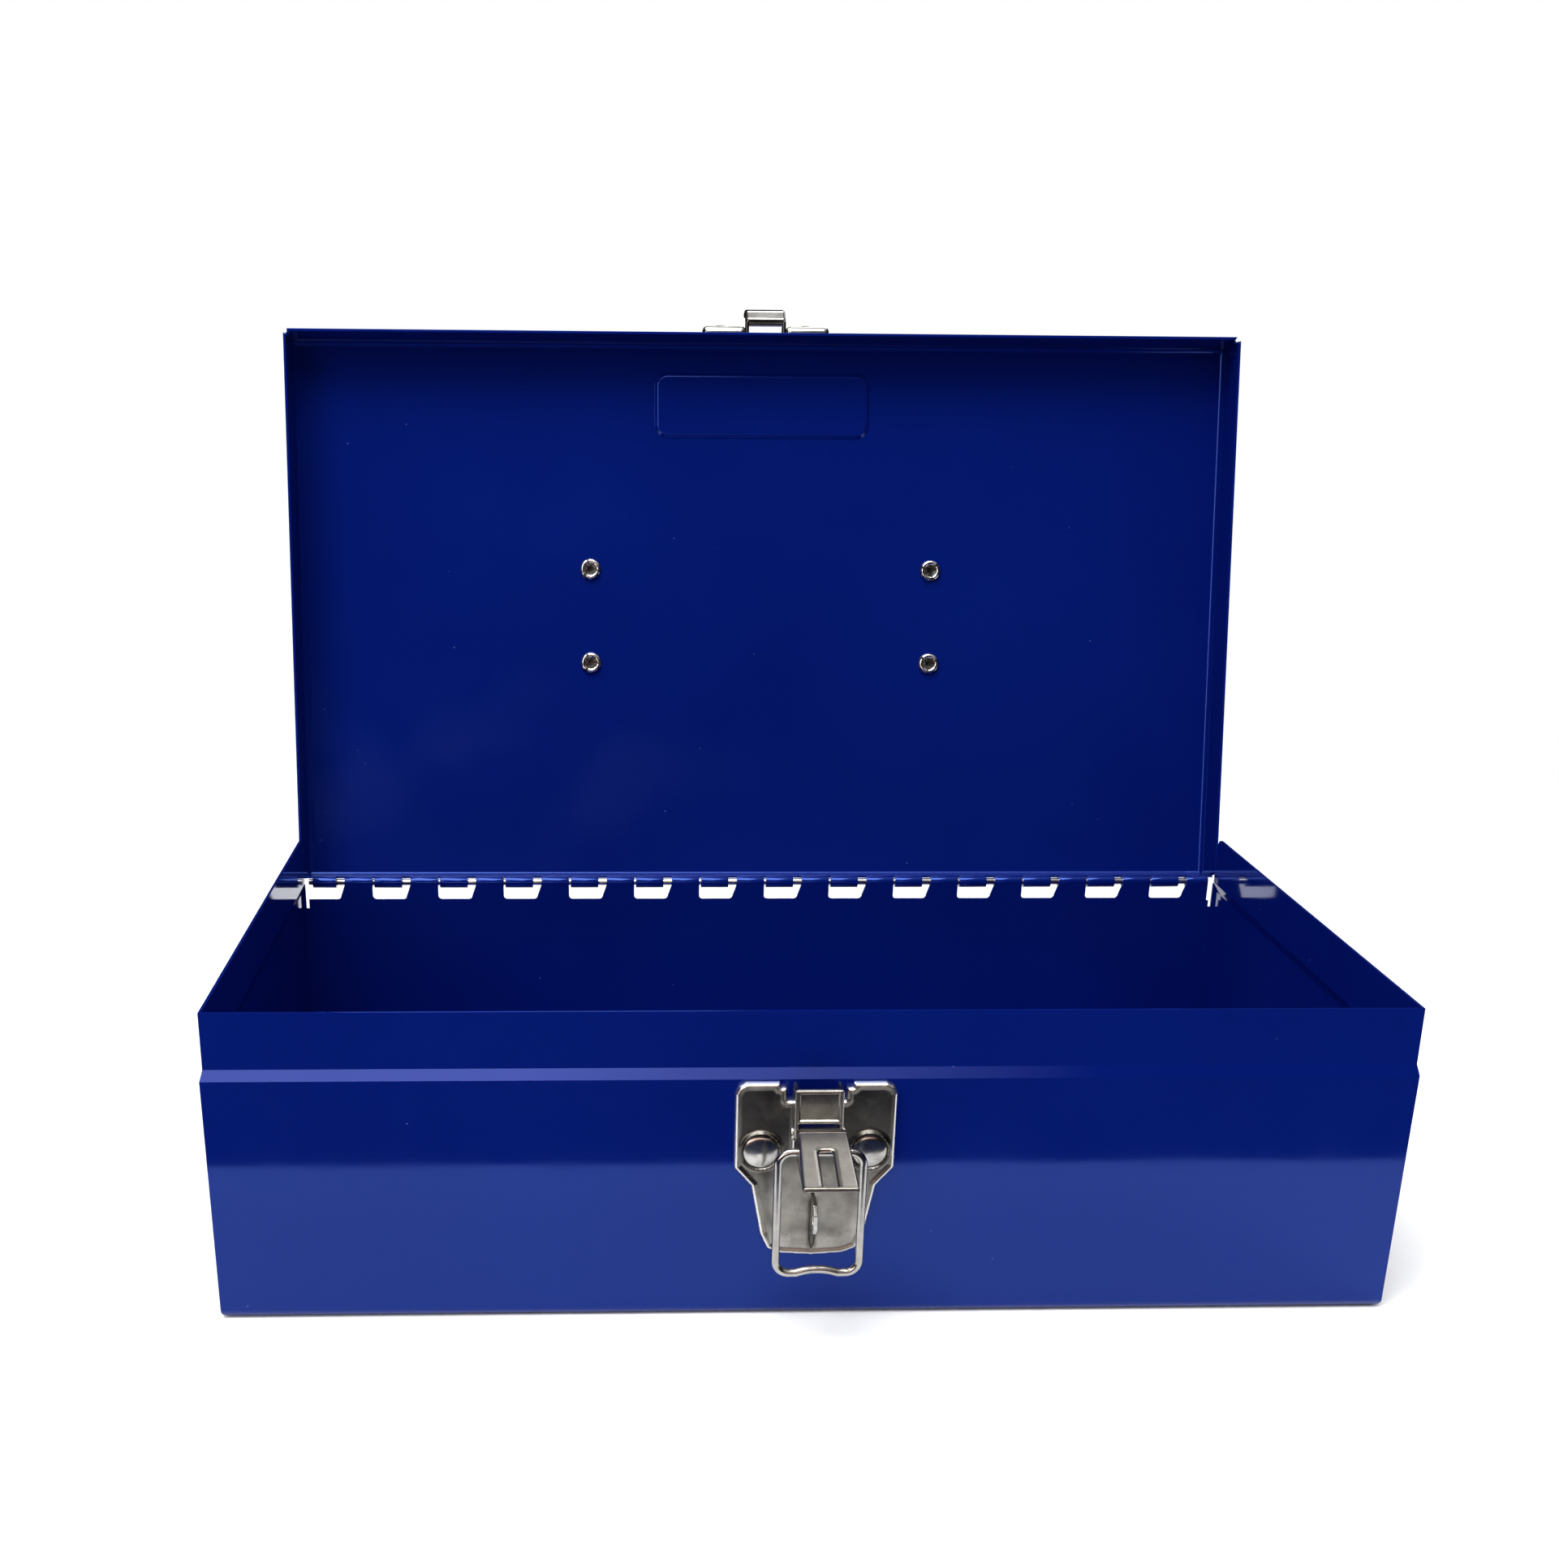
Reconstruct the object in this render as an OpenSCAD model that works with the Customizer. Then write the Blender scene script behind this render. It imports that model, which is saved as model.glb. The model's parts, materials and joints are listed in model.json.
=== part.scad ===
// Flat-top steel tool box with a draw latch, shown with its lid open.
// Millimetres. X runs along the box, -Y is the latch side, +Z is up, and the box stands on Z = 0.
// Lid pieces are drawn closed and then turned open about the hinge.

/* [Box] */
// Outside width of the walls, end to end
body_w = 359.6; // [300:1:480]
// Outside depth of the walls, front to rear
body_d = 202.6; // [150:1:280]
// Height of the lip that the lid closes over
lip_top = 98.5; // [90:1:160]
// Height of the lip above its shoulder
lip_h = 17.2; // [14:0.2:19]
// Drop of the sloping shoulder under the lip
shoulder_drop = 3.4; // [2:0.2:5]
// How far the lip stands in from the wall
joggle = 1; // [0.8:0.1:1.6]
// Sheet thickness of box and lid
sheet = 0.9; // [0.7:0.1:1.2]
// Outside radius of the bottom edges
bottom_r = 3; // [1.5:0.5:5]

/* [Lid] */
// Gap between the lid's skirt and the lip
lid_clear = 0.5; // [0.4:0.1:1]
// Gap between the skirt's edge and the shoulder
edge_gap = 0.4; // [0.3:0.1:1]
// Height of the closed lid's underside over the lip
lid_rise = 2.1; // [0.6:0.1:4]
// Outside radius of the lid's top edges
lid_edge_r = 2.4; // [1.5:0.1:4]
// How far the lid stands open
open_angle = 103.4; // [60:0.1:110]
// Depth of the notches in the skirt's corners
corner_notch_h = 6; // [3:0.5:9]
// Width of those notches at the edge
corner_notch_w = 2; // [1:0.2:3]
// Width of the label recess
label_w = 79; // [40:1:120]
// Depth of the label recess, front to rear
label_d = 20; // [12:1:30]
// How deep the label recess is pressed
label_press = 1; // [0.6:0.1:1.5]
// Corner radius of the label recess
label_r = 3; // [1:0.5:5]
// From the lid's front face to the label recess
label_inset = 12.6; // [8:0.2:30]

/* [Hinge] */
// Diameter of the hinge pin
pin_d = 2.6; // [2:0.1:3.2]
// Radial clearance of the lid's knuckles on the pin
pin_clear = 0.05; // [0.03:0.01:0.1]
// Distance from one lid knuckle to the next
knuckle_pitch = 25.4; // [24:0.2:30]
// Width of each knuckle
knuckle_w = 10.7; // [9:0.1:10.8]
// Gap on the left of each lid knuckle
knuckle_gap = 0.7; // [0.5:0.1:1]
// Width of the slot under each lid knuckle
slot_w = 13.1; // [12:0.1:13.4]
// Distance from the pin's axis down to the slot's floor
slot_drop = 6.4; // [4.5:0.1:8]
// Corner radius at the foot of each slot
slot_r = 1.4; // [0.6:0.1:2]
// Width of the slits beside the rear wall
slit_w = 1.1; // [0.8:0.1:2]
// Depth of those slits below the pin's axis
slit_drop = 10; // [7:0.5:14]

/* [Handle] */
// Distance between the two brackets
bracket_span = 133.4; // [100:0.2:180]
// Distance between the rivets of one bracket
bracket_rivets = 35.6; // [26:0.2:44]
// Width of a bracket strap
bracket_w = 13; // [10:0.5:18]
// Thickness of a bracket strap
bracket_t = 1.6; // [1.2:0.1:2.4]
// Diameter of the handle's rod
rod_d = 5; // [4:0.2:6]
// Radial clearance of the rod in its brackets
rod_clear = 0.1; // [0.05:0.01:0.1]
// Gap between the rod and the lid
rod_lift = 0.8; // [0.5:0.1:2]
// Reach of the handle from its axis to the grip
handle_reach = 34; // [26:1:46]
// Bend radius of the handle's corners
handle_bend_r = 9; // [6:0.5:12]
// Diameter of the rolled grip
grip_d = 11; // [8:0.5:14]
// Length of the rolled grip
grip_l = 84; // [50:1:90]
// Wall of the rolled grip
grip_wall = 1; // [0.8:0.1:1.6]
// Diameter of a handle rivet's head
handle_rivet_head_d = 8.4; // [6:0.2:10]
// Diameter of a handle rivet's shank
handle_rivet_d = 4.8; // [3:0.2:5.4]

/* [Latch] */
// Width of the latch plate and of the strike
latch_w = 47.8; // [44:0.2:56]
// Height of the latch plate
plate_h = 55.4; // [52:0.2:60]
// Thickness of the plated sheet
plate_t = 1.2; // [0.9:0.1:1.5]
// Height of the latch plate's face off the wall
plate_rise = 2.9; // [2:0.1:3.2]
// Distance between the rivets, plate and strike alike
rivet_span = 32.4; // [31:0.2:36]
// Diameter of the plate's rivet heads
rivet_head_d = 9.6; // [7:0.2:10]
// Height of the lever's pin off the wall
pivot_out = 8; // [7.6:0.1:9]
// Drop of the lever's pin below the shoulder
pivot_drop = 13.7; // [12:0.1:16]
// Diameter of the lever's pin
lever_pin_d = 2.4; // [2:0.1:2.8]
// Outside width of the saddle that carries the lever
saddle_w = 14.2; // [13:0.1:16]
// Width of the lever at its tip
lever_tip_w = 15.8; // [14.6:0.1:17]
// Reach of the lever from its pin to its tip
lever_reach = 37; // [34:0.2:39]
// Thickness of the lever's sheet
lever_t = 1; // [0.8:0.1:1.2]
// How far the open lever's face tips below level
lever_tip_angle = 15; // [10:1:20]
// Width of the lever's padlock slot
padlock_slot_w = 4.1; // [3:0.1:5]
// Diameter of the bail's wire
wire_d = 2.4; // [2:0.1:2.8]
// Outside width of the bail
bail_w = 27.1; // [25:0.1:30]
// Distance from the bail's pivot to its far bar
bail_reach = 38.7; // [36:0.1:44]
// Bend radius of the bail's corners
bail_r = 4; // [3:0.2:6]
// Radial clearance of pins and wire in the latch
latch_clear = 0.05; // [0.03:0.01:0.1]
// Thickness of the padlock fin
fin_t = 1.2; // [1:0.1:2]

/* [Strike] */
// Height of the strike's feet off the skirt
strike_rise = 3; // [2:0.1:4]
// Outside width of the strike's bridge
bridge_w = 14.7; // [13:0.1:16]
// How far the strike's hook stands off the skirt
hook_out = 10.9; // [10:0.1:13]

/* [Hidden] */
$fn = 64;
run_gap = 0.35;
eps = 0.01;
// how far a cutting solid runs past what it cuts
past = 20;
side_x = body_w / 2;
front_y = -body_d / 2;
rear_y = body_d / 2;
shoulder_z = lip_top - lip_h;
wall_z = shoulder_z - shoulder_drop;

knuckle_bore_r = pin_d / 2 + pin_clear;
barrel_r = knuckle_bore_r + sheet;
hinge_y = rear_y - sheet + barrel_r;
hinge_z = shoulder_z - 0.3;
slot_z = hinge_z - slot_drop;
rear_in_x = side_x - joggle - sheet;
knuckles = floor(2 * rear_in_x / knuckle_pitch);
row_start = -knuckles * knuckle_pitch / 2 + 0.4;

lid_in_x = side_x - joggle + lid_clear;
lid_x = lid_in_x + sheet;
lid_front_y = front_y + joggle - lid_clear - sheet;
lid_edge_z = shoulder_z + edge_gap;
lid_under_z = lip_top + lid_rise;
lid_top_z = lid_under_z + sheet;
lid_in_r = lid_edge_r - sheet;

// the front lip leans in just enough for the skirt's edge to swing past its top
lip_reach = hinge_y - front_y - joggle;
lip_swing = lip_reach + lid_clear - run_gap;
lip_lean = lip_reach - sqrt(lip_swing * lip_swing - (lip_top - hinge_z) * (lip_top - hinge_z));

rod_z = lid_top_z + rod_lift + rod_d / 2;
handle_end_x = bracket_span / 2 + bracket_w / 2 + 1.5;
foot_bend_r = rod_d / 2 + 1.5;
handle_leg_x = bracket_span / 2 - bracket_w / 2 - foot_bend_r - run_gap;
hang_angle = open_angle - 90;

plate_top = wall_z - 0.4;
plate_bottom = plate_top - plate_h;
pivot_z = wall_z - pivot_drop;
rivet_z = plate_top - 21.4;
web_bottom = pivot_z + 3.3;
web_top = web_bottom + 11;
web_out = pivot_out + 2.5;
ear_t = 1.1;
ear_bottom = pivot_z - 2.6;
ear_in_x = saddle_w / 2 - ear_t;
lever_roll_r = lever_pin_d / 2 + latch_clear + 0.95;
lever_neck_x = ear_in_x - 0.4;
bend_out = 12.3;
bend_up = 5.3;
tip_up = bend_up - (lever_reach - bend_out) * tan(lever_tip_angle);
lever_face_t = lever_t / cos(lever_tip_angle);
tip_low = tip_up - lever_face_t - 0.4;
bail_out = 10.5;
bail_drop = 1.7;
bail_y = front_y - pivot_out - bail_out;
bail_z = pivot_z - bail_drop;
bail_leg_x = bail_w / 2 - wire_d / 2;
wave_r = 18;
wave_turn = 20;
fin_top = pivot_z - 22.4;
fin_foot = pivot_z - lever_reach + 1.8;

// where the bail's bar sits when the lid and the latch are shut
close_turn = 93;
skirt_y = lid_front_y;
bail_lean = 2.3;
bar_out = pivot_out + bail_out * cos(close_turn) - bail_drop * sin(close_turn)
    + bail_reach * sin(bail_lean) - (front_y - skirt_y);
bar_z = pivot_z - bail_out * sin(close_turn) - bail_drop * cos(close_turn)
    + bail_reach * cos(bail_lean);
strike_z0 = bar_z - 8.4;
strike_z1 = bar_z + 4.6;
strike_rivet_z = (strike_z0 + strike_z1) / 2;
strike_rivet_d = 3.2;
strike_rim = 1.2;
latch_rivet_d = 4;
notch_x = 9.1;

// Turns lid pieces, drawn closed, to where the lid stands open.
module opened() {
    translate([0, hinge_y, hinge_z])
        rotate([-open_angle, 0, 0])
            translate([0, -hinge_y, -hinge_z])
                children();
}

// Stands a drawing whose x is the outward distance from the front wall, and whose y is height,
// in the plane across the box, and thickens it to w about the middle.
module across(w, face_y = front_y) {
    translate([w / 2, face_y, 0])
        rotate([90, 0, -90])
            linear_extrude(w)
                children();
}

// Stands a drawing of width and height against the front wall, from off to off + t outward.
module on_front(off, t, face_y = front_y) {
    translate([0, face_y - off, 0])
        rotate([90, 0, 0])
            linear_extrude(t)
                children();
}

// A rectangle from [x0, y0] to [x1, y1] with its corners rounded.
module round_rect(x0, y0, x1, y1, r) {
    translate([x0 + r, y0])
        square([x1 - x0 - 2 * r, y1 - y0]);
    translate([x0, y0 + r])
        square([x1 - x0, y1 - y0 - 2 * r]);
    for (x = [x0 + r, x1 - r], y = [y0 + r, y1 - r])
        translate([x, y])
            circle(r);
}

// Half of the box's outline: wall, shoulder and lip on the +x side, with a rounded foot.
// The lip leans in by lean on its way up to lip_top.
module half_outline(x, inset, top, lean = 0) {
    r = bottom_r - inset;
    top_x = x - inset - joggle - lean * (top - shoulder_z) / lip_h;
    translate([-eps, inset])
        square([x - inset - r + eps, wall_z - inset]);
    translate([-eps, bottom_r])
        square([x - inset + eps, wall_z - bottom_r]);
    translate([x - bottom_r, bottom_r])
        circle(r);
    polygon([
        [-eps, wall_z - eps],
        [x - inset, wall_z - eps],
        [x - inset, wall_z],
        [x - inset - joggle, shoulder_z],
        [top_x, top],
        [-eps, top]
    ]);
}

// Half of the box's outline at the rear, where the wall has no lip.
module half_plain(x, inset, top) {
    r = bottom_r - inset;
    translate([-eps, inset])
        square([x - inset - r + eps, top - inset]);
    translate([-eps, bottom_r])
        square([x - inset + eps, top - bottom_r]);
    translate([x - bottom_r, bottom_r])
        circle(r);
}

// The solid inside the walls' outer faces (inset 0) or inner faces (inset sheet).
module box_block(inset, top) {
    intersection() {
        translate([0, side_x, 0])
            rotate([90, 0, 0])
                linear_extrude(2 * side_x) {
                    half_outline(side_x, inset, top);
                    mirror([1, 0])
                        half_outline(side_x, inset, top);
                }
        translate([side_x, 0, 0])
            rotate([90, 0, -90])
                linear_extrude(2 * side_x) {
                    half_outline(-front_y, inset, top, lip_lean);
                    mirror([1, 0])
                        half_plain(rear_y, inset, top);
                }
    }
}

// One rolled knuckle from x0 to x1, with its bore left for later.
module barrel(x0, x1) {
    translate([x0, hinge_y, hinge_z])
        rotate([0, 90, 0])
            cylinder(h = x1 - x0, r = barrel_r);
}

// A bore along the hinge from x0 to x1.
module hinge_bore(x0, x1, r) {
    translate([x0, hinge_y, hinge_z])
        rotate([0, 90, 0])
            cylinder(h = x1 - x0, r = r);
}

// Left edges and widths of the knuckles.
function lid_knuckle_x(i) = row_start + i * knuckle_pitch + knuckle_gap;
function box_knuckle_x(i) = row_start + (i + 1) * knuckle_pitch - knuckle_w;

// Rear wall with its slots and slits, seen from the front and standing over the row of knuckles.
module rear_wall_cut() {
    for (i = [0 : knuckles - 1]) {
        x = row_start + i * knuckle_pitch;
        left = i == 0 ? -rear_in_x : x;
        round_rect(left, slot_z, x + slot_w, hinge_z + past, slot_r);
        polygon([
            [x + slot_w - eps, slot_z + slot_r],
            [x + slot_w, slot_z + slot_r],
            [box_knuckle_x(i), hinge_z - 0.5],
            [box_knuckle_x(i), hinge_z + past],
            [x + slot_w - eps, hinge_z + past]
        ]);
    }
    for (s = [-1, 1])
        translate([s * (rear_in_x - slit_w / 2) - slit_w / 2, hinge_z - slit_drop])
            square([slit_w, slit_drop + past]);
    translate([-rear_in_x, hinge_z])
        square([2 * rear_in_x, past]);
    translate([rear_in_x - slit_w - 0.9, slot_z - 1])
        square([slit_w + 0.9, past]);
}

module box_shell() {
    color("#14308c")
        difference() {
            union() {
                difference() {
                    box_block(0, lip_top);
                    box_block(sheet, lip_top + past);
                    translate([0, rear_y + eps, 0])
                        rotate([90, 0, 0])
                            linear_extrude(sheet + 2 * eps)
                                rear_wall_cut();
                    // the end walls stop short of the lid's rear skirt
                    translate([-side_x - past, rear_y - sheet - run_gap, lid_edge_z - 1.2])
                        cube([2 * (side_x + past), past, lip_top]);
                    for (s = [0, 1])
                        mirror([s, 0, 0])
                            lip_corner_cut();
                }
                for (i = [0 : knuckles - 1]) {
                    x1 = min(box_knuckle_x(i) + knuckle_w, rear_in_x - slit_w - 0.9);
                    barrel(box_knuckle_x(i), x1);
                }
            }
            hinge_bore(-rear_in_x, rear_in_x, pin_d / 2);
            on_front(-past, 2 * past)
                latch_rivet_holes();
        }
}

// The holes of the latch's two rivets.
module latch_rivet_holes() {
    for (s = [-1, 1])
        translate([s * rivet_span / 2, rivet_z])
            circle(d = latch_rivet_d);
}

// Rounds the rear top corner of an end wall's lip.
module lip_corner_cut() {
    r = 3;
    y = rear_y - sheet - run_gap;
    translate([side_x - joggle - sheet - 1, y - r, lip_top - r])
        rotate([90, 0, 90])
            linear_extrude(sheet + 3)
                difference() {
                    square(r + 1);
                    circle(r);
                }
}

module hinge_pin() {
    color("#b9bdc2")
        hinge_bore(-rear_in_x + 1.2, rear_in_x - slit_w - 0.9, pin_d / 2);
}

// A block with two rounded top edges, half width x, along y, from z0 up to z1.
module capped_profile(x0, x1, z0, z1, r) {
    translate([x0, z0])
        square([x1 - x0, z1 - r - z0]);
    translate([x0 + r, z0])
        square([x1 - x0 - 2 * r, z1 - z0]);
    for (x = [x0 + r, x1 - r])
        translate([x, z1 - r])
            circle(r);
}

// The solid inside the lid's outer faces, or inside its inner faces.
module lid_block(inset, r, z0) {
    x = lid_x - inset;
    z1 = lid_top_z - inset;
    intersection() {
        translate([0, 2 * side_x, 0])
            rotate([90, 0, 0])
                linear_extrude(4 * side_x)
                    capped_profile(-x, x, z0, z1, r);
        translate([-2 * side_x, 0, 0])
            rotate([90, 0, 90])
                linear_extrude(4 * side_x)
                    capped_profile(lid_front_y + inset, rear_y - inset, z0, z1, r);
    }
}

// The label recess, grown by g all round, from z0 to z1.
module label_block(g, z0, z1) {
    y0 = lid_front_y + label_inset - g;
    translate([0, 0, z0])
        linear_extrude(z1 - z0)
            round_rect(-label_w / 2 - g, y0, label_w / 2 + g, y0 + label_d + 2 * g, label_r + g);
}

// Wedge notch in one corner of the skirt.
module corner_notch(sx, y) {
    translate([sx * lid_x, y, lid_edge_z])
        rotate([0, 0, sx * (y < 0 ? 45 : -45)])
            rotate([90, 0, 0])
                translate([0, 0, -4])
                    linear_extrude(8)
                        polygon([
                            [-corner_notch_w / 2, -eps],
                            [corner_notch_w / 2, -eps],
                            [0.3, corner_notch_h],
                            [-0.3, corner_notch_h]
                        ]);
}

module lid_closed() {
    difference() {
        union() {
            difference() {
                lid_block(0, lid_edge_r, lid_edge_z);
                lid_block(sheet, lid_in_r, lid_edge_z - past);
                // the rear skirt clears the box's knuckles
                translate([-rear_in_x, rear_y - sheet - eps, lid_edge_z - eps])
                    cube([2 * rear_in_x, sheet + 2 * eps, hinge_z + barrel_r + 0.4 - lid_edge_z]);
                for (sx = [-1, 1], y = [lid_front_y, rear_y])
                    corner_notch(sx, y);
            }
            for (i = [0 : knuckles - 1]) {
                x0 = max(lid_knuckle_x(i), -rear_in_x + 2.9);
                x1 = lid_knuckle_x(i) + knuckle_w;
                barrel(x0, x1);
                translate([x0, rear_y - sheet, hinge_z])
                    cube([x1 - x0, sheet, barrel_r + 1]);
            }
            label_block(sheet, lid_under_z - label_press, lid_under_z + eps);
        }
        label_block(0, lid_top_z - label_press, lid_top_z + past);
        hinge_bore(-rear_in_x, rear_in_x, knuckle_bore_r);
        for (sx = [-1, 1], sy = [-1, 1])
            translate([sx * bracket_span / 2, sy * bracket_rivets / 2, lid_under_z - past])
                cylinder(h = 2 * past, d = handle_rivet_d);
        for (sx = [-1, 1])
            translate([sx * rivet_span / 2, lid_front_y - past, strike_rivet_z])
                rotate([-90, 0, 0])
                    cylinder(h = 2 * past, d = strike_rivet_d);
    }
}

module lid_shell() {
    color("#14308c")
        opened()
            lid_closed();
}

// One foot of the strike: a dished pad with turned-down rims.
module strike_foot() {
    x0 = bridge_w / 2 - 0.2;
    x1 = latch_w / 2;
    difference() {
        on_front(0, strike_rise, skirt_y)
            round_rect(x0, strike_z0, x1, strike_z1, 2);
        on_front(-eps, strike_rise - plate_t, skirt_y)
            round_rect(x0 + 1.2, strike_z0 + strike_rim, x1 - strike_rim, strike_z1 - strike_rim, 1);
        on_front(-past, 2 * past, skirt_y)
            translate([rivet_span / 2, strike_rivet_z])
                circle(d = strike_rivet_d);
    }
    difference() {
        on_front(0, strike_rise - plate_t + eps, skirt_y)
            translate([rivet_span / 2, strike_rivet_z])
                circle(d = strike_rivet_d + 3);
        on_front(-past, 2 * past, skirt_y)
            translate([rivet_span / 2, strike_rivet_z])
                circle(d = strike_rivet_d);
    }
}

// Side plate of the bridge, with the seat for the bail's bar.
module bridge_side() {
    seat = wire_d / 2 + run_gap;
    difference() {
        polygon([
            [0, strike_z0],
            [4.9, strike_z0],
            [hook_out - 1.6, strike_z0 + 4.1],
            [hook_out, strike_z0 + 8],
            [hook_out, strike_z1],
            [0, strike_z1]
        ]);
        translate([bar_out, bar_z])
            circle(seat);
        polygon([
            [bar_out - seat, bar_z],
            [bar_out + seat, bar_z],
            [bar_out + seat + 0.3, strike_z1 + 1],
            [bar_out - seat - 2.4, strike_z1 + 1]
        ]);
    }
}

// The lip that runs across the bridge.
module bridge_lip() {
    polygon([
        [4.9, strike_z0],
        [hook_out - 1.6, strike_z0 + 4.1],
        [hook_out, strike_z0 + 8],
        [hook_out, strike_z1 + 1],
        [hook_out - 1, strike_z1 + 1],
        [hook_out - 1.1, strike_z0 + 8.2],
        [hook_out - 2.6, strike_z0 + 5],
        [4.3, strike_z0 + 1]
    ]);
}

module strike() {
    side_t = 1.2;
    color("#d9dce0")
        opened() {
            strike_foot();
            mirror([1, 0, 0])
                strike_foot();
            for (s = [-1, 1])
                translate([s * (bridge_w - side_t) / 2, 0, 0])
                    across(side_t, skirt_y)
                        bridge_side();
            across(bridge_w - 0.4, skirt_y)
                bridge_lip();
        }
}

// A rivet along -y at the skirt: dished head outside, set flush inside so the lid can close.
module strike_rivet(s) {
    color("#c9ccd1")
        opened()
            translate([s * rivet_span / 2, skirt_y, strike_rivet_z])
                rotate([90, 0, 0])
                    difference() {
                        union() {
                            translate([0, 0, -sheet])
                                cylinder(h = sheet + strike_rise + 0.6, d = strike_rivet_d);
                            translate([0, 0, strike_rise])
                                cylinder(h = 1.1, d1 = 6.8, d2 = 5.2);
                        }
                        translate([0, 0, strike_rise + 2])
                            sphere(r = 1.9);
                    }
}

module strike_rivet_left() {
    strike_rivet(-1);
}

module strike_rivet_right() {
    strike_rivet(1);
}

// A strap bent over the handle's rod, seen along the rod.
module bracket_outline() {
    r = rod_d / 2 + rod_clear;
    h = rod_z - lid_top_z;
    foot = bracket_rivets / 2 + handle_rivet_head_d / 2 + 1;
    difference() {
        union() {
            translate([-foot, 0])
                square([2 * foot, bracket_t]);
            translate([0, h])
                circle(r + bracket_t);
            translate([-r - bracket_t, 0])
                square([2 * (r + bracket_t), h]);
        }
        translate([0, h])
            circle(r);
        translate([-r, -1])
            square([2 * r, h + 1]);
    }
}

module handle_bracket(s) {
    color("#b9bdc2")
        opened()
            translate([s * bracket_span / 2, 0, lid_top_z])
                difference() {
                    translate([-bracket_w / 2, 0, 0])
                        rotate([90, 0, 90])
                            linear_extrude(bracket_w)
                                bracket_outline();
                    for (sy = [-1, 1])
                        translate([0, sy * bracket_rivets / 2, -1])
                            cylinder(h = bracket_t + 2, d = handle_rivet_d);
                }
}

module handle_bracket_left() {
    handle_bracket(-1);
}

module handle_bracket_right() {
    handle_bracket(1);
}

// A quarter bend of round rod, from the -x direction to the +y direction about [0, r].
module quarter_bend(r, d) {
    rotate_extrude(angle = 90)
        translate([r, 0])
            circle(d = d);
}

// Half of the handle's rod, flat in x and y, with y the reach from its axis.
module half_rod() {
    r = handle_bend_r;
    foot_r = foot_bend_r;
    translate([handle_leg_x + foot_r, 0, 0])
        rotate([0, 90, 0])
            cylinder(h = handle_end_x - handle_leg_x - foot_r, d = rod_d);
    translate([handle_leg_x + foot_r, foot_r, 0])
        rotate([0, 0, 180])
            quarter_bend(foot_r, rod_d);
    translate([handle_leg_x, foot_r, 0])
        rotate([-90, 0, 0])
            cylinder(h = handle_reach - r - foot_r, d = rod_d);
    translate([handle_leg_x - r, handle_reach - r, 0])
        quarter_bend(r, rod_d);
    translate([0, handle_reach, 0])
        rotate([0, 90, 0])
            cylinder(h = handle_leg_x - r, d = rod_d);
    translate([handle_end_x - 1.2, 0, 0])
        rotate([0, 90, 0])
            cylinder(h = 1.2, d = rod_d + 1);
}

// Puts a handle piece on its axis, hanging straight down while the lid stands open.
module hung() {
    opened()
        translate([0, 0, rod_z])
            rotate([hang_angle, 0, 0])
                children();
}

module handle_rod() {
    color("#b9bdc2")
        hung() {
            half_rod();
            mirror([1, 0, 0])
                half_rod();
        }
}

module handle_grip() {
    color("#b9bdc2")
        hung()
            translate([-grip_l / 2, handle_reach, 0])
                rotate([0, 90, 0])
                    difference() {
                        cylinder(h = grip_l, d = grip_d);
                        translate([0, 0, 1.2])
                            cylinder(h = grip_l - 2.4, d = grip_d - 2 * grip_wall);
                        translate([0, 0, -1])
                            cylinder(h = grip_l + 2, d = rod_d);
                    }
}

// Domed head outside, split and flared end inside the lid.
module handle_rivet(sx, sy) {
    flare_d = handle_rivet_head_d - 0.2;
    slits = 5;
    color("#c9ccd1")
        opened()
            translate([sx * bracket_span / 2, sy * bracket_rivets / 2, lid_top_z])
                difference() {
                    union() {
                        translate([0, 0, -sheet - 0.9])
                            cylinder(h = sheet + 0.9 + bracket_t + 0.5, d = handle_rivet_d);
                        translate([0, 0, bracket_t])
                            intersection() {
                                cylinder(h = 3, d = handle_rivet_head_d);
                                translate([0, 0, -3])
                                    sphere(r = 5.2);
                            }
                        translate([0, 0, -sheet - 1])
                            cylinder(h = 1, d1 = flare_d - 1.4, d2 = flare_d);
                    }
                    translate([0, 0, -sheet - 2])
                        cylinder(h = sheet + 2.4, d = 2.6);
                    for (i = [0 : slits - 1])
                        rotate([0, 0, i * 360 / slits])
                            translate([1, -0.3, -sheet - 1.1])
                                cube([flare_d, 0.6, 0.75]);
                }
}

module handle_rivet_left_front() {
    handle_rivet(-1, -1);
}

module handle_rivet_left_rear() {
    handle_rivet(-1, 1);
}

module handle_rivet_right_front() {
    handle_rivet(1, -1);
}

module handle_rivet_right_rear() {
    handle_rivet(1, 1);
}

// The latch plate's outline, drawn in by g all round.
module plate_outline(g) {
    w = latch_w / 2 - g;
    top = plate_top - g;
    low = plate_bottom + g;
    r = 6 - g;
    foot_x = 14.4 - g;
    foot_r = 4.5 - g;
    shoulder = plate_top - 27;
    for (s = [0, 1])
        mirror([s, 0]) {
            polygon([
                [-eps, low],
                [foot_x - foot_r, low],
                [foot_x, low + foot_r],
                [foot_x + 1.2, low + foot_r + 1.5],
                [latch_w / 2 - 4.8 - g, shoulder - 5.2],
                [w, shoulder - g * 0.4],
                [w, top - r],
                [-eps, top - r]
            ]);
            translate([-eps, top - r - eps])
                square([w - r + eps, r + eps]);
            translate([w - r, top - r])
                circle(r);
            translate([foot_x - foot_r + 0.3, low + foot_r])
                circle(foot_r);
        }
}

// Everything cut out of the plate's middle: the top notch and the saddle's window.
module plate_cuts() {
    translate([-notch_x, pivot_z + 8.5])
        square([2 * notch_x, past]);
    translate([-ear_in_x, pivot_z - 7.5])
        square([2 * ear_in_x, past]);
}

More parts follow.
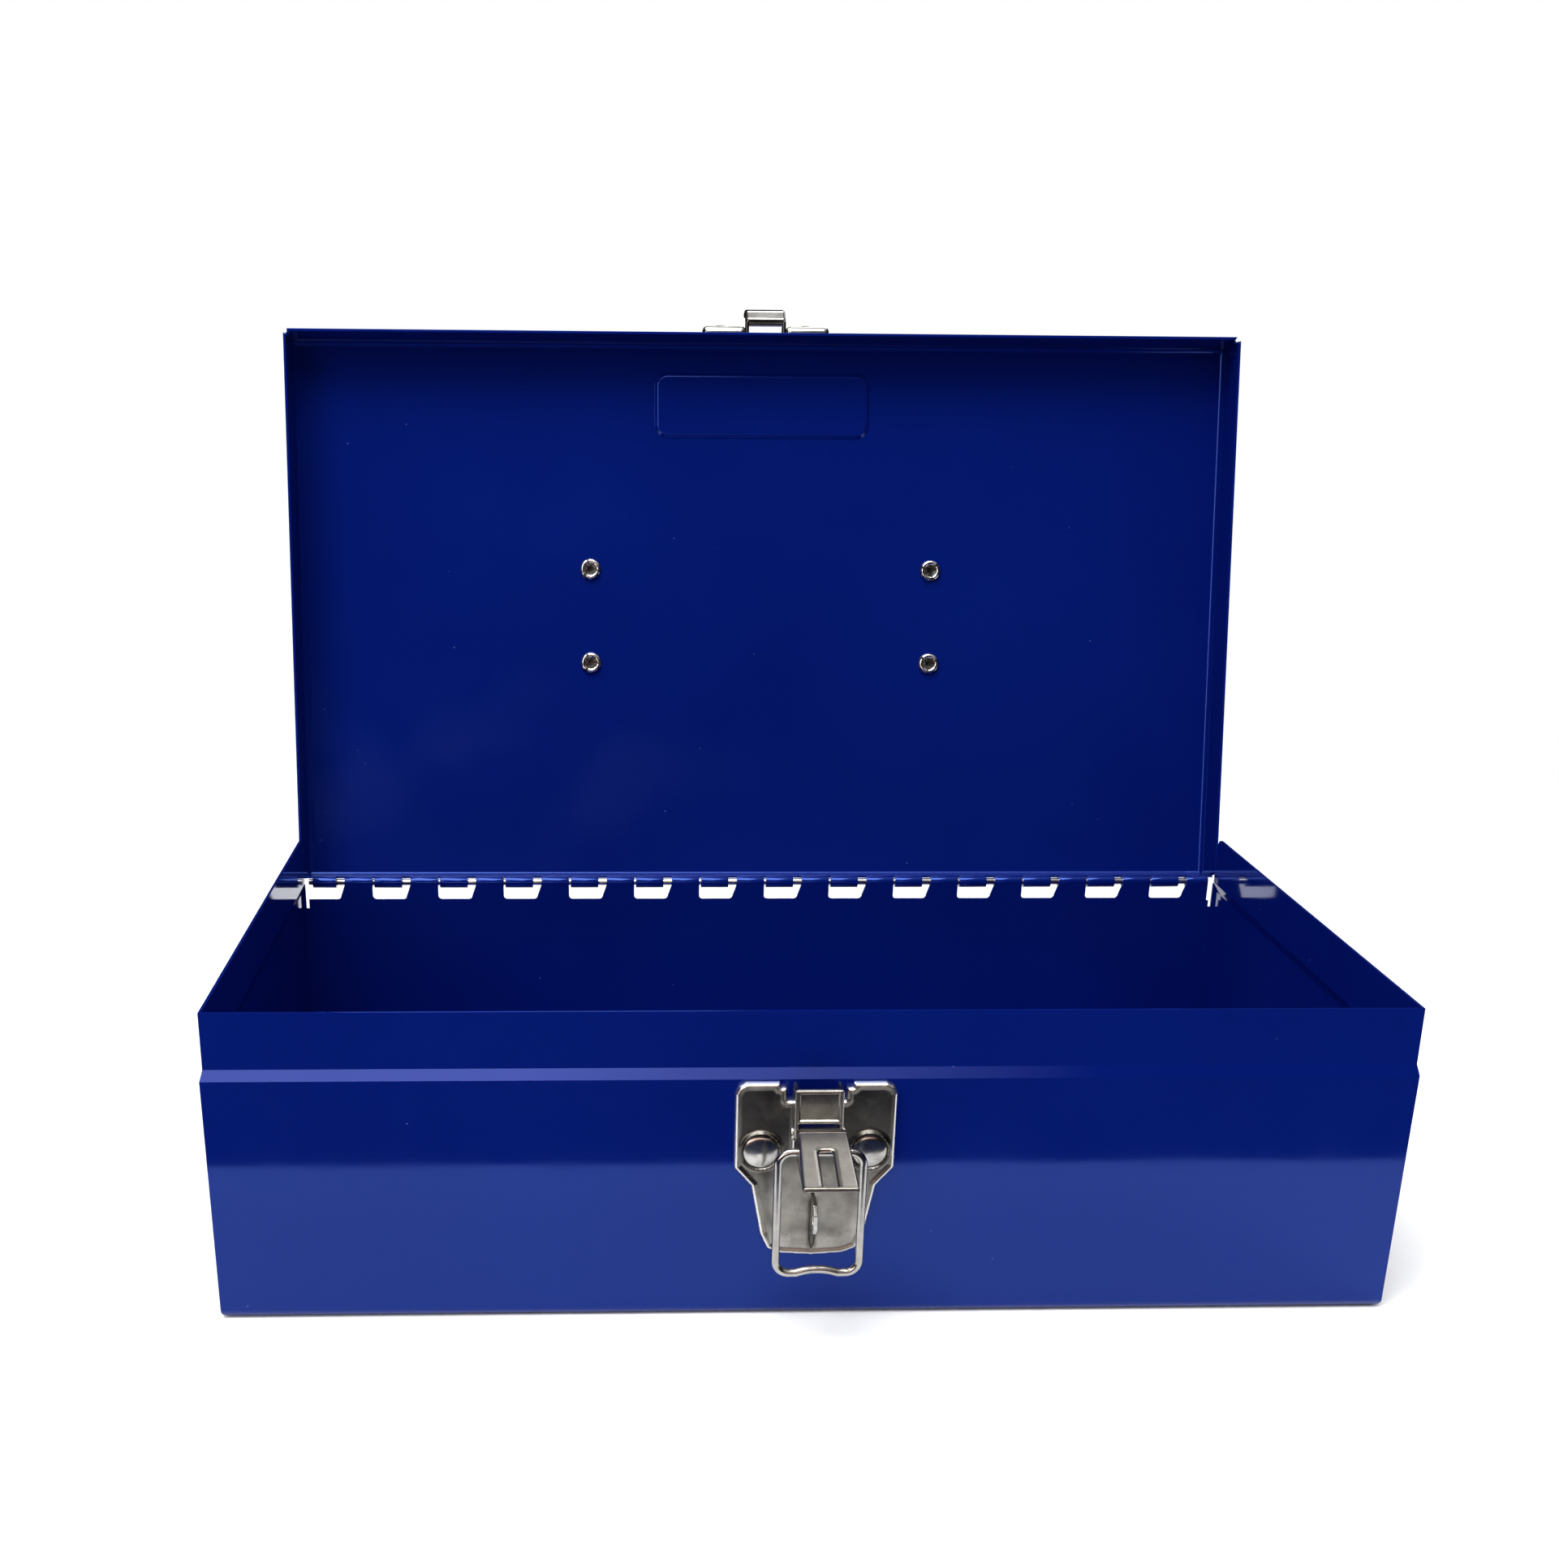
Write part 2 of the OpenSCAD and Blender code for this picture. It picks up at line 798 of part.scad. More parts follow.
module latch_plate() {
    rim = 1.3;
    ring_d = rivet_head_d + 3.4;
    color("#a7a9a8")
        difference() {
            union() {
                difference() {
                    on_front(0, plate_rise)
                        plate_outline(0);
                    on_front(-eps, plate_rise - plate_t)
                        plate_outline(rim);
                    on_front(-past, 2 * past)
                        plate_cuts();
                }
                // turned-down edge of the top notch
                for (s = [-1, 1])
                    on_front(0, plate_rise)
                        translate([s * (notch_x + 0.6) - 0.6, pivot_z + 8.5])
                            square([1.2, plate_top - pivot_z - 8.5]);
                // ears and web of the saddle
                for (s = [-1, 1])
                    translate([s * (saddle_w - ear_t) / 2, 0, 0])
                        across(ear_t)
                            polygon([
                                [plate_rise - plate_t, ear_bottom - 1.4],
                                [plate_rise + 0.6, ear_bottom - 0.4],
                                [pivot_out, ear_bottom],
                                [web_out, ear_bottom + 1.6],
                                [web_out, web_top],
                                [plate_rise, web_top],
                                [plate_rise - plate_t, pivot_z + 10.4]
                            ]);
                on_front(web_out - ear_t, ear_t)
                    translate([-saddle_w / 2, web_bottom])
                        square([saddle_w, web_top - web_bottom]);
                // pressed seats round the rivets
                for (s = [-1, 1])
                    on_front(0, plate_rise + 0.5)
                        translate([s * rivet_span / 2, rivet_z])
                            circle(d = ring_d);
            }
            on_front(web_out - 0.4, 1)
                round_rect(-5.3, web_bottom + 0.8, 5.3, web_top - 1.6, 0.8);
            for (s = [-1, 1])
                on_front(plate_rise, 1)
                    translate([s * rivet_span / 2, rivet_z])
                        circle(d = rivet_head_d + 0.6);
            on_front(-past, 2 * past)
                latch_rivet_holes();
            pivot_bore(lever_pin_d / 2);
        }
}

// A bore along the lever's pin.
module pivot_bore(r) {
    translate([-saddle_w, front_y - pivot_out, pivot_z])
        rotate([0, 90, 0])
            cylinder(h = 2 * saddle_w, r = r);
}

// Wide shallow head with a dished face, through the plate and the wall.
module latch_rivet(s) {
    color("#c9ccd1")
        translate([s * rivet_span / 2, front_y, rivet_z])
            rotate([90, 0, 0])
                difference() {
                    union() {
                        translate([0, 0, -sheet - 1.2])
                            cylinder(h = sheet + 1.2 + plate_rise + 0.4, d = latch_rivet_d);
                        translate([0, 0, plate_rise])
                            cylinder(h = 1.3, d1 = rivet_head_d, d2 = rivet_head_d - 0.8);
                        translate([0, 0, -sheet - 1.2])
                            cylinder(h = 1.2, d1 = 6, d2 = 7);
                    }
                    translate([0, 0, plate_rise + 14])
                        sphere(r = 13.2);
                }
}

module latch_rivet_left() {
    latch_rivet(-1);
}

module latch_rivet_right() {
    latch_rivet(1);
}

module padlock_fin() {
    out = pivot_out + 3.6;
    color("#c9ccd1")
        across(fin_t)
            difference() {
                polygon([
                    [plate_rise, fin_foot],
                    [plate_rise + 1, fin_foot],
                    [out - 1.2, fin_foot + 3.4],
                    [out, fin_foot + 5],
                    [out, fin_top - 3],
                    [out - 2.2, fin_top - 0.4],
                    [plate_rise, fin_top]
                ]);
                translate([out - 2.4, (fin_top + fin_foot) / 2 + 0.7])
                    circle(d = 3);
            }
}

module lever_pin() {
    color("#c9ccd1")
        translate([0, front_y - pivot_out, pivot_z])
            rotate([0, 90, 0]) {
                translate([0, 0, -saddle_w / 2 - 0.4])
                    cylinder(h = saddle_w + 0.8, d = lever_pin_d);
                for (s = [-1, 1])
                    translate([0, 0, s * (saddle_w / 2 + 0.4) - 0.4])
                        cylinder(h = 0.8, d = lever_pin_d + 1.4);
            }
}

// Width of the lever at a given reach from its pin.
function lever_half(u) = lerp(saddle_w / 2, lever_tip_w / 2, (u - bend_out) / (lever_reach - bend_out));
function lerp(a, b, f) = a + (b - a) * f;

// Side view of the lever's sheet: strip over the pin, bend, face and turned-in tip.
module lever_sheet_profile() {
    polygon([
        [0, lever_roll_r],
        [2.6, lever_roll_r + 0.1],
        [bend_out, bend_up],
        [lever_reach, tip_up],
        [lever_reach, tip_low],
        [lever_reach - lever_t, tip_low],
        [lever_reach - lever_t, tip_up - lever_face_t + lever_t * tan(lever_tip_angle)],
        [bend_out, bend_up - lever_face_t],
        [2.6, lever_roll_r - lever_t + 0.1],
        [0, lever_roll_r - lever_t]
    ]);
}

// Side view of the lever's flanges.
module lever_flange_profile() {
    polygon([
        [6.6, 3.1],
        [bend_out, bend_up],
        [lever_reach, tip_up],
        [lever_reach, tip_low],
        [16.5, -bail_drop - 2.1],
        [8, -bail_drop - 2.1],
        [6.6, -bail_drop - 0.6]
    ]);
}

// Plan of the lever, x outward and y to either side, drawn in by g.
module lever_plan(g) {
    n = lever_neck_x;
    b = lever_half(bend_out) - g;
    t = lever_half(lever_reach) - g;
    polygon([
        [-3, -n],
        [4.6, -n],
        [6.6, -b],
        [bend_out, -b],
        [lever_reach + eps, -t],
        [lever_reach + eps, t],
        [bend_out, b],
        [6.6, b],
        [4.6, n],
        [-3, n]
    ]);
}

// Extrudes the lever's plan upward through its whole height.
module lever_prism(g) {
    translate([0, front_y - pivot_out, pivot_z - past])
        rotate([0, 0, -90])
            linear_extrude(2 * past)
                lever_plan(g);
}

// Places a side view at the lever's pin.
module at_pivot(w) {
    translate([0, -pivot_out, pivot_z])
        across(w)
            children();
}

module latch_lever() {
    wide = 2 * lever_tip_w;
    slot0 = 22;
    slot1 = lever_reach - 1.3;
    color("#a7a9a8")
        difference() {
            union() {
                intersection() {
                    at_pivot(wide)
                        lever_sheet_profile();
                    lever_prism(0);
                }
                intersection() {
                    at_pivot(wide)
                        lever_flange_profile();
                    difference() {
                        lever_prism(0);
                        lever_prism(lever_t);
                    }
                    translate([-wide / 2, front_y - pivot_out - lever_reach, pivot_z - past])
                        cube([wide, lever_reach - 6.6, 2 * past]);
                }
                at_pivot(2 * lever_neck_x)
                    circle(lever_roll_r);
            }
            pivot_bore(lever_pin_d / 2 + latch_clear);
            translate([-wide, bail_y, bail_z])
                rotate([0, 90, 0])
                    cylinder(h = 2 * wide, d = wire_d + 2 * latch_clear);
            translate([-padlock_slot_w / 2, front_y - pivot_out - slot1, pivot_z - 2.2])
                cube([padlock_slot_w, slot1 - slot0, past]);
            translate([0, front_y - pivot_out - slot0, pivot_z - 2.2])
                cylinder(h = past, d = padlock_slot_w);
        }
}

// A quarter turn of wire about [x, z], starting at the given angle.
module wire_arc(x, z, r, start, turn) {
    translate([x, 0, z])
        rotate([90, 0, 0])
            rotate([0, 0, start])
                rotate_extrude(angle = turn)
                    translate([r, 0])
                        circle(d = wire_d);
}

// Half of the bail, hanging in x and z from its pivot at the origin.
module half_bail() {
    wave_x = wave_r * sin(wave_turn) - 0.3;
    low = -bail_reach;
    rotate([0, 90, 0])
        cylinder(h = bail_leg_x - bail_r, d = wire_d);
    wire_arc(bail_leg_x - bail_r, -bail_r, bail_r, 0, 90);
    translate([bail_leg_x, 0, low + bail_r])
        cylinder(h = bail_reach - 2 * bail_r, d = wire_d);
    wire_arc(bail_leg_x - bail_r, low + bail_r, bail_r, 270, 90);
    translate([wave_x, 0, low])
        rotate([0, 90, 0])
            cylinder(h = bail_leg_x - bail_r - wave_x, d = wire_d);
}

module latch_bail() {
    color("#b3b5b6")
        translate([0, bail_y, bail_z]) {
            half_bail();
            mirror([1, 0, 0])
                half_bail();
            // middle of the wave in the far bar
            wire_arc(0, -bail_reach - wave_r * cos(wave_turn), wave_r, 90 - wave_turn, 2 * wave_turn);
        }
}

box_shell();
hinge_pin();
lid_shell();
strike();
strike_rivet_left();
strike_rivet_right();
handle_bracket_left();
handle_bracket_right();
handle_rod();
handle_grip();
handle_rivet_left_front();
handle_rivet_left_rear();
handle_rivet_right_front();
handle_rivet_right_rear();
latch_plate();
latch_rivet_left();
latch_rivet_right();
padlock_fin();
lever_pin();
latch_lever();
latch_bail();
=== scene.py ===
# The looks of the steel tool box: paint, plated steel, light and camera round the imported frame.
# Metres, in the frame of the part: X along the box, -Y towards the latch, +Z up.

import json
import math

import bmesh
import bpy
import numpy as np
from mathutils import Matrix, Vector

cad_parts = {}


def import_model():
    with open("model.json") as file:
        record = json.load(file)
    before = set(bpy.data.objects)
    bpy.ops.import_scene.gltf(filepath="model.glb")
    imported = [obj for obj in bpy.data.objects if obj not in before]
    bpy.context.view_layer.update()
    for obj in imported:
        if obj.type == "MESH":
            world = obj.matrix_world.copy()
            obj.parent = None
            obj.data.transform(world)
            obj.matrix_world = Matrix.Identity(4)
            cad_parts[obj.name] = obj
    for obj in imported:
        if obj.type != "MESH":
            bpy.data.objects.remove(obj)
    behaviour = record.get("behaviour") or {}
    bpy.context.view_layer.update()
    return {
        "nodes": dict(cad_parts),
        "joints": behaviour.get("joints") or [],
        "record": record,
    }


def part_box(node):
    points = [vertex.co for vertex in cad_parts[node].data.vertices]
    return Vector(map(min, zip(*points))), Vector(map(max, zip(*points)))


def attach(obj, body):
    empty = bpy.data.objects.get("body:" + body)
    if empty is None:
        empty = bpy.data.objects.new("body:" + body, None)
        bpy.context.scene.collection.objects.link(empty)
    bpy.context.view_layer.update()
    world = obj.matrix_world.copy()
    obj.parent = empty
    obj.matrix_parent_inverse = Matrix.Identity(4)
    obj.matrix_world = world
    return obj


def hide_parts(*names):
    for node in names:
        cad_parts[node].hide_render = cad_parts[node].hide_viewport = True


MM = 0.001

# Sizes in mm.
SHEET = 0.9
PLATE_TALL = 55.4
PLATE_SHOULDER_DROP = 27
PLATE_RISE = 2.9
PLATE_SHEET = 1.1
PLATE_RIM = 1.2
LEVER_SHEET = 1.0
STRIKE_SHEET = 1.2
STRIKE_CORNER = 2.0
BAR_ABOVE_STRIKE = 8.4
JUST_OFF = 0.02
SADDLE_HALF = 7.1

# The lever's bend, its roll round the pin and its half widths, in mm from the pivot.
BEND_OUT, BEND_UP = 12.3, 5.3
TIP_DROP = math.radians(15)
PIN_WRAP = 2.2
NECK_HALF, ROOT_HALF = 5.6, 7.1

# Colours put on plated steel: a dark one, which is painted shade, and a pale one for rims rubbed bright,
# partly by real rubbing and partly as painted highlight; and the grain that its drawn lines follow.
PAINTED_SHADE_COLOUR = (0.055, 0.050, 0.043)
RUB_AND_HIGHLIGHT_COLOUR = (0.80, 0.78, 0.73)
EVEN = (1, 1, 1)
ALONG_X = (0.12, 1, 1)
ALONG_Z = (1, 1, 0.12)

# Width of the rounded arris, by material slot.
ARRIS = {"blue_paint": 0.35 * MM, "pin_steel": 0.2 * MM, "grey_plate": 0.45 * MM, "bright_plate": 0.45 * MM}
OTHER_ARRIS = 0.25 * MM

# Camera, as one who stands before the box and looks down into it.
CAMERA_PLACE = Vector((-0.0617, -0.6179, 0.2811))
CAMERA_YAW = math.radians(2.301)
CAMERA_PITCH = math.radians(-22.679)
CAMERA_ROLL = math.radians(0.544)
CAMERA_LENS = 43.56
CAMERA_SHIFT = (0.0654, 0.2145)

# Stage, in metres.
FLOOR_REACH = 6.0
FLOOR_FADES_FROM, FLOOR_GONE_BY = 0.35, 0.9
PALE_FLOOR_FRONT = 0.112
SHOULDER_Z = 0.080
CLOUD_Y = -0.8


# ---- shader helpers ----

def new_material(name):
    material = bpy.data.materials.new(name)
    material.use_nodes = True
    tree = material.node_tree
    return material, tree, tree.nodes["Principled BSDF"]


def add_node(tree, kind, **settings):
    """A new shader node, with its properties or its input sockets set by name."""
    node = tree.nodes.new(kind)
    for key, value in settings.items():
        if hasattr(node, key):
            setattr(node, key, value)
        else:
            node.inputs[key.replace("_", " ")].default_value = value
    return node


def object_point(tree, scale=EVEN):
    """Object coordinates, stretched by scale."""
    place = add_node(tree, "ShaderNodeTexCoord")
    mapping = add_node(tree, "ShaderNodeMapping")
    mapping.inputs["Scale"].default_value = scale
    tree.links.new(place.outputs["Object"], mapping.inputs["Vector"])
    return mapping.outputs["Vector"]


def split_point(tree, kind):
    """The X, Y and Z outputs of one kind of coordinates."""
    place = add_node(tree, "ShaderNodeTexCoord")
    parts = add_node(tree, "ShaderNodeSeparateXYZ")
    tree.links.new(place.outputs[kind], parts.inputs[0])
    return parts.outputs


def noise(tree, point, scale, detail=3.0, roughness=0.5):
    """Smooth noise between 0 and 1."""
    node = add_node(tree, "ShaderNodeTexNoise", Scale=scale, Detail=detail, Roughness=roughness)
    tree.links.new(point, node.inputs["Vector"])
    return node.outputs["Fac"]


def specks(tree, point, scale, size):
    """1 inside small round specks, one to a cell of a grid of random points, and 0 elsewhere."""
    cells = add_node(tree, "ShaderNodeTexVoronoi", Scale=scale)
    tree.links.new(point, cells.inputs["Vector"])
    return remap(tree, cells.outputs["Distance"], 0.0, size, 1.0, 0.0)


def remap(tree, value, low, high, to_low, to_high):
    """value, taken from low..high to to_low..to_high and held there."""
    node = add_node(tree, "ShaderNodeMapRange")
    node.clamp = True
    for name, number in (("From Min", low), ("From Max", high), ("To Min", to_low), ("To Max", to_high)):
        node.inputs[name].default_value = number
    tree.links.new(value, node.inputs["Value"])
    return node.outputs["Result"]


def multiply(tree, a, b):
    node = add_node(tree, "ShaderNodeMath", operation="MULTIPLY")
    tree.links.new(a, node.inputs[0])
    tree.links.new(b, node.inputs[1])
    return node.outputs[0]


def mix_colour(tree, share, a, b):
    """Colour a where share is 0 and b where it is 1. Either may be a colour or a socket."""
    node = add_node(tree, "ShaderNodeMix", data_type="RGBA")
    tree.links.new(share, node.inputs["Factor"])
    for socket, colour in ((node.inputs[6], a), (node.inputs[7], b)):
        if isinstance(colour, tuple):
            socket.default_value = (*colour, 1.0)
        else:
            tree.links.new(colour, socket)
    return node.outputs[2]


def bump(tree, height, distance, strength, under=None):
    """A normal tilted by height, on top of another normal where one is given."""
    node = add_node(tree, "ShaderNodeBump", Strength=strength, Distance=distance)
    tree.links.new(height, node.inputs["Height"])
    if under is not None:
        tree.links.new(under, node.inputs["Normal"])
    return node.outputs["Normal"]


# ---- finishes ----

def navy_gloss_paint():
    """Stoved enamel: deep even blue, a faint orange peel, fine dust and a mirror-like skin."""
    material, tree, skin = new_material("navy_gloss_paint")
    point = object_point(tree)
    cloud = remap(tree, noise(tree, point, 9, 4), 0.3, 0.7, 0, 1)
    blue = mix_colour(tree, cloud, (0.0008, 0.0058, 0.100), (0.0012, 0.0078, 0.118))
    patches = remap(tree, noise(tree, point, 24, 2), 0.52, 0.6, 0, 1)
    dust = multiply(tree, multiply(tree, specks(tree, point, 130, 0.045), patches), patches)
    tree.links.new(mix_colour(tree, dust, blue, (0.10, 0.13, 0.30)), skin.inputs["Base Color"])
    haze = remap(tree, noise(tree, point, 60, 5), 0.3, 0.7, 0.05, 0.09)
    tree.links.new(haze, skin.inputs["Roughness"])
    wave = bump(tree, noise(tree, point, 26, 1), 0.0006, 0.10)
    peel = bump(tree, noise(tree, point, 420, 2), 0.00002, 0.10, wave)
    tree.links.new(peel, skin.inputs["Normal"])
    skin.inputs["IOR"].default_value = 1.76
    skin.inputs["Specular Tint"].default_value = (0.16, 0.30, 1.0, 1.0)
    return material


def plated_steel(name, light, dark, rough, grain=EVEN, lines=260, depth=0.12, painted_light_and_wear=False):
    """Plated steel: tone mottled from dark to light, gloss smudged between two roughnesses, and fine
    drawn lines along the grain. One with painted light and rubbing also goes dark with painted shade where
    its mesh is marked for it, and turns pale where its rims are marked as rubbed, which is partly real
    rubbing and partly painted highlight."""
    material, tree, skin = new_material(name)
    point = object_point(tree)
    along = object_point(tree, grain)
    mottle = remap(tree, noise(tree, point, 190, 5, 0.6), 0.32, 0.68, 0, 1)
    tone = mix_colour(tree, mottle, dark, light)
    if painted_light_and_wear:
        # Painted shade: where the mesh is marked for it, the tone goes dark.
        stain = add_node(tree, "ShaderNodeAttribute", attribute_name="stain")
        # Rims marked as rubbed turn pale: partly real rubbing, partly a painted highlight along the rolled
        # edges.
        rub = add_node(tree, "ShaderNodeAttribute", attribute_name="rub")
        tone = mix_colour(tree, stain.outputs["Fac"], tone, PAINTED_SHADE_COLOUR)
        tone = mix_colour(tree, rub.outputs["Fac"], tone, RUB_AND_HIGHLIGHT_COLOUR)
    tree.links.new(tone, skin.inputs["Base Color"])
    smudge = remap(tree, noise(tree, point, 90, 4), 0.3, 0.7, rough[0], rough[1])
    tree.links.new(smudge, skin.inputs["Roughness"])
    drawn = bump(tree, noise(tree, along, lines, 3), 0.00003, depth)
    tree.links.new(drawn, skin.inputs["Normal"])
    skin.inputs["Metallic"].default_value = 1.0
    return material


def finishes():
    """Every finish by name. Those named after a material slot dress the frame's own nodes."""
    return {
        "blue_paint": navy_gloss_paint(),
        # The latch plate and the strike carry painted shade through mesh attributes, and the latch plate
        # also has rubbed rims that are partly painted highlight.
        "grey_plate": plated_steel("grey_plated_steel", (0.33, 0.318, 0.29), (0.19, 0.18, 0.162),
                                   (0.22, 0.34), grain=(1, 1, 0.5), lines=2200, depth=0.30, painted_light_and_wear=True),
        "domed_rivet": plated_steel("domed_rivet_steel", (0.50, 0.49, 0.47), (0.22, 0.215, 0.20),
                                    (0.12, 0.24), lines=500, depth=0.30),
        "lever_plate": plated_steel("lever_steel", (0.22, 0.205, 0.185), (0.165, 0.155, 0.14),
                                    (0.24, 0.34), ALONG_X, lines=500, depth=0.10),
        "bright_plate": plated_steel("bright_nickel", (0.82, 0.81, 0.79), (0.70, 0.69, 0.67),
                                     (0.08, 0.16), ALONG_X),
        "strike_plate": plated_steel("strike_nickel", (0.60, 0.59, 0.56), (0.36, 0.35, 0.33),
                                     (0.07, 0.16), ALONG_X, lines=700, depth=0.15, painted_light_and_wear=True),
        "fin_plate": plated_steel("fin_steel", (0.58, 0.57, 0.54), (0.40, 0.39, 0.37),
                                  (0.22, 0.34), ALONG_Z),
        "bail_wire": plated_steel("bail_wire_steel", (0.44, 0.43, 0.40), (0.31, 0.30, 0.28),
                                  (0.15, 0.24), ALONG_Z, lines=900, depth=0.15),
        "handle_plate": plated_steel("handle_nickel", (0.74, 0.73, 0.71), (0.62, 0.61, 0.59),
                                     (0.10, 0.20), ALONG_X),
        "rivet_steel": plated_steel("rivet_steel", (0.80, 0.79, 0.76), (0.58, 0.57, 0.55), (0.12, 0.22)),
        # Painted shade: a darkened copy of the rivet steel, for the shade inside the rivets' bores.
        "rivet_bore_shade": plated_steel("rivet_bore_steel", (0.20, 0.195, 0.19), (0.08, 0.078, 0.075),
                                   (0.25, 0.40)),
        "pin_steel": plated_steel("pin_steel", (0.58, 0.57, 0.55), (0.42, 0.41, 0.40),
                                  (0.18, 0.30), ALONG_X),
    }


def dress_frame(frame, finish):
    """Puts each CAD node's finish on its own slots and takes the hard arris off its edges."""
    slot_of = {part["node"]: part["material_slot"] for part in frame["record"]["subparts"]}
    for name, node in frame["nodes"].items():
        material = finish[slot_of[name]]
        for slot in node.material_slots:
            slot.material = material
        if not node.material_slots:
            node.data.materials.append(material)
        soften(node, ARRIS.get(slot_of[name], OTHER_ARRIS))


def soften(node, width):
    """Rounds the arrises of a CAD node, whose triangles are joined first."""
    weld = node.modifiers.new("join", "WELD")
    weld.merge_threshold = 1e-6
    flat = node.modifiers.new("flats", "DECIMATE")
    flat.decimate_type = "DISSOLVE"
    flat.angle_limit = math.radians(0.5)
    bevel = node.modifiers.new("arris", "BEVEL")
    bevel.limit_method = "ANGLE"
    bevel.angle_limit = math.radians(35)
    bevel.width = width
    bevel.segments = 2
    bevel.use_clamp_overlap = True


# ---- outlines: signed distances in mm, negative inside ----

def around_polygon(corners, soft=0.0):
    """Distance to a polygon whose corners are rounded by soft."""
    corners = [np.array(c, float) for c in corners]

    def distance(x, z):
        nearest = np.full(x.shape, 1e9)
        inside = np.zeros(x.shape, bool)
        for (ax, az), (bx, bz) in zip(corners, corners[1:] + corners[:1]):
            ex, ez = bx - ax, bz - az
            length = max(ex * ex + ez * ez, 1e-12)
            t = np.clip(((x - ax) * ex + (z - az) * ez) / length, 0, 1)
            nearest = np.minimum(nearest, np.hypot(x - ax - t * ex, z - az - t * ez))
            crosses = (az > z) != (bz > z)
            with np.errstate(divide="ignore", invalid="ignore"):
                inside ^= crosses & (x < ex * (z - az) / ez + ax)
        return np.where(inside, -nearest, nearest) - soft
    return distance


def around_box(x0, z0, x1, z1, soft):
    """Distance to an upright rectangle whose corners are rounded by soft."""
    cx, cz = (x0 + x1) / 2, (z0 + z1) / 2
    hx, hz = (x1 - x0) / 2 - soft, (z1 - z0) / 2 - soft

    def distance(x, z):
        dx, dz = np.abs(x - cx) - hx, np.abs(z - cz) - hz
        outside = np.hypot(np.maximum(dx, 0), np.maximum(dz, 0))
        return outside + np.minimum(np.maximum(dx, dz), 0) - soft
    return distance


def without(whole, *holes):
    """Distance to a shape with holes cut out of it."""
    def distance(x, z):
        d = whole(x, z)
        for hole in holes:
            d = np.maximum(d, -hole(x, z))
        return d
    return distance


def ease(value):
    """0 up to 0 and 1 from 1 on, with a soft rise between."""
    value = np.clip(value, 0, 1)
    return value * value * (3 - 2 * value)


def rolled_edge(inside, radius):
    """How far a face falls away as it rounds over its edge."""
    t = 1 - np.clip(inside / radius, 0, 1)
    return radius * (1 - np.sqrt(np.maximum(0.0, 1 - t * t)))


# ---- pressed sheet ----

def inner_cells(outline, low, high, step):
    """Grid points and the cells inside the outline, with the rim's points drawn onto the outline."""
    nx = int(math.ceil((high[0] - low[0]) / step)) + 1
    nz = int(math.ceil((high[1] - low[1]) / step)) + 1
    x, z = np.meshgrid(low[0] + step * np.arange(nx), low[1] + step * np.arange(nz), indexing="ij")
    middle = outline(x[:-1, :-1] + step / 2, z[:-1, :-1] + step / 2)
    kept = middle < 0
    number = np.arange(nx * nz).reshape(nx, nz)
    quads = np.stack([number[:-1, :-1], number[1:, :-1], number[1:, 1:], number[:-1, 1:]], -1)[kept]
    used, flat = np.unique(quads, return_inverse=True)
    quads = flat.reshape(quads.shape)
    x, z = x.reshape(-1)[used], z.reshape(-1)[used]
    rim = rim_edges(quads)
    edge = np.unique(rim)
    h = 0.02
    for _ in range(3):
        d = outline(x[edge], z[edge])
        gx = (outline(x[edge] + h, z[edge]) - outline(x[edge] - h, z[edge])) / (2 * h)
        gz = (outline(x[edge], z[edge] + h) - outline(x[edge], z[edge] - h)) / (2 * h)
        x[edge] -= d * gx
        z[edge] -= d * gz
    return x, z, quads, rim


def rim_edges(quads):
    """Edges that only one cell has, each in that cell's direction."""
    edges = [edge for a, b, c, d in quads.tolist() for edge in ((a, b), (b, c), (c, d), (d, a))]
    known = set(edges)
    return np.array([(a, b) for a, b in edges if (b, a) not in known])


def pressed_sheet(outline, low, high, step, top, back, place):
    """Points and faces of a closed sheet: top and back give its two faces' heights at x, z and
    the distance in from the rim, and place turns x, z and height into metres."""
    x, z, quads, rim = inner_cells(outline, low, high, step)
    inside = np.maximum(0.0, -outline(x, z))
    inside[np.unique(rim)] = 0.0
    n = len(x)
    points = [place(*p) for p in zip(x, z, top(x, z, inside))]
    points += [place(*p) for p in zip(x, z, back(x, z, inside))]
    faces = [tuple(q) for q in quads.tolist()]
    faces += [tuple(n + v for v in reversed(q)) for q in quads.tolist()]
    faces += [(b, a, n + a, n + b) for a, b in rim.tolist()]
    return points, faces


def mark(piece, name, values):
    """Writes a value to each of the first points of a piece, for its finish to read."""
    field = piece.data.attributes.new(name, "FLOAT", "POINT")
    whole = np.zeros(len(piece.data.vertices), np.float32)
    whole[:len(values)] = values
    field.data.foreach_set("value", whole)


def placed(name, data):
    """A new object at the origin, in the scene."""
    piece = bpy.data.objects.new(name, data)
    bpy.context.scene.collection.objects.link(piece)
    return piece


def made_piece(name, parts, material, body, smooth=40):
    """One object from several closed shells, with its faces turned outwards and its folds sharp
    from smooth degrees on."""
    points, faces = [], []
    for some_points, some_faces in parts:
        start = len(points)
        points += [tuple(p) for p in some_points]
        faces += [tuple(start + i for i in f) for f in some_faces]
    mesh = bpy.data.meshes.new(name)
    mesh.from_pydata(points, [], faces)
    form = bmesh.new()
    form.from_mesh(mesh)
    bmesh.ops.recalc_face_normals(form, faces=form.faces)
    form.to_mesh(mesh)
    form.free()
    mesh.materials.append(material)
    mesh.shade_smooth()
    mesh.set_sharp_from_angle(angle=math.radians(smooth))
    piece = placed(name, mesh)
    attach(piece, body)
    return piece


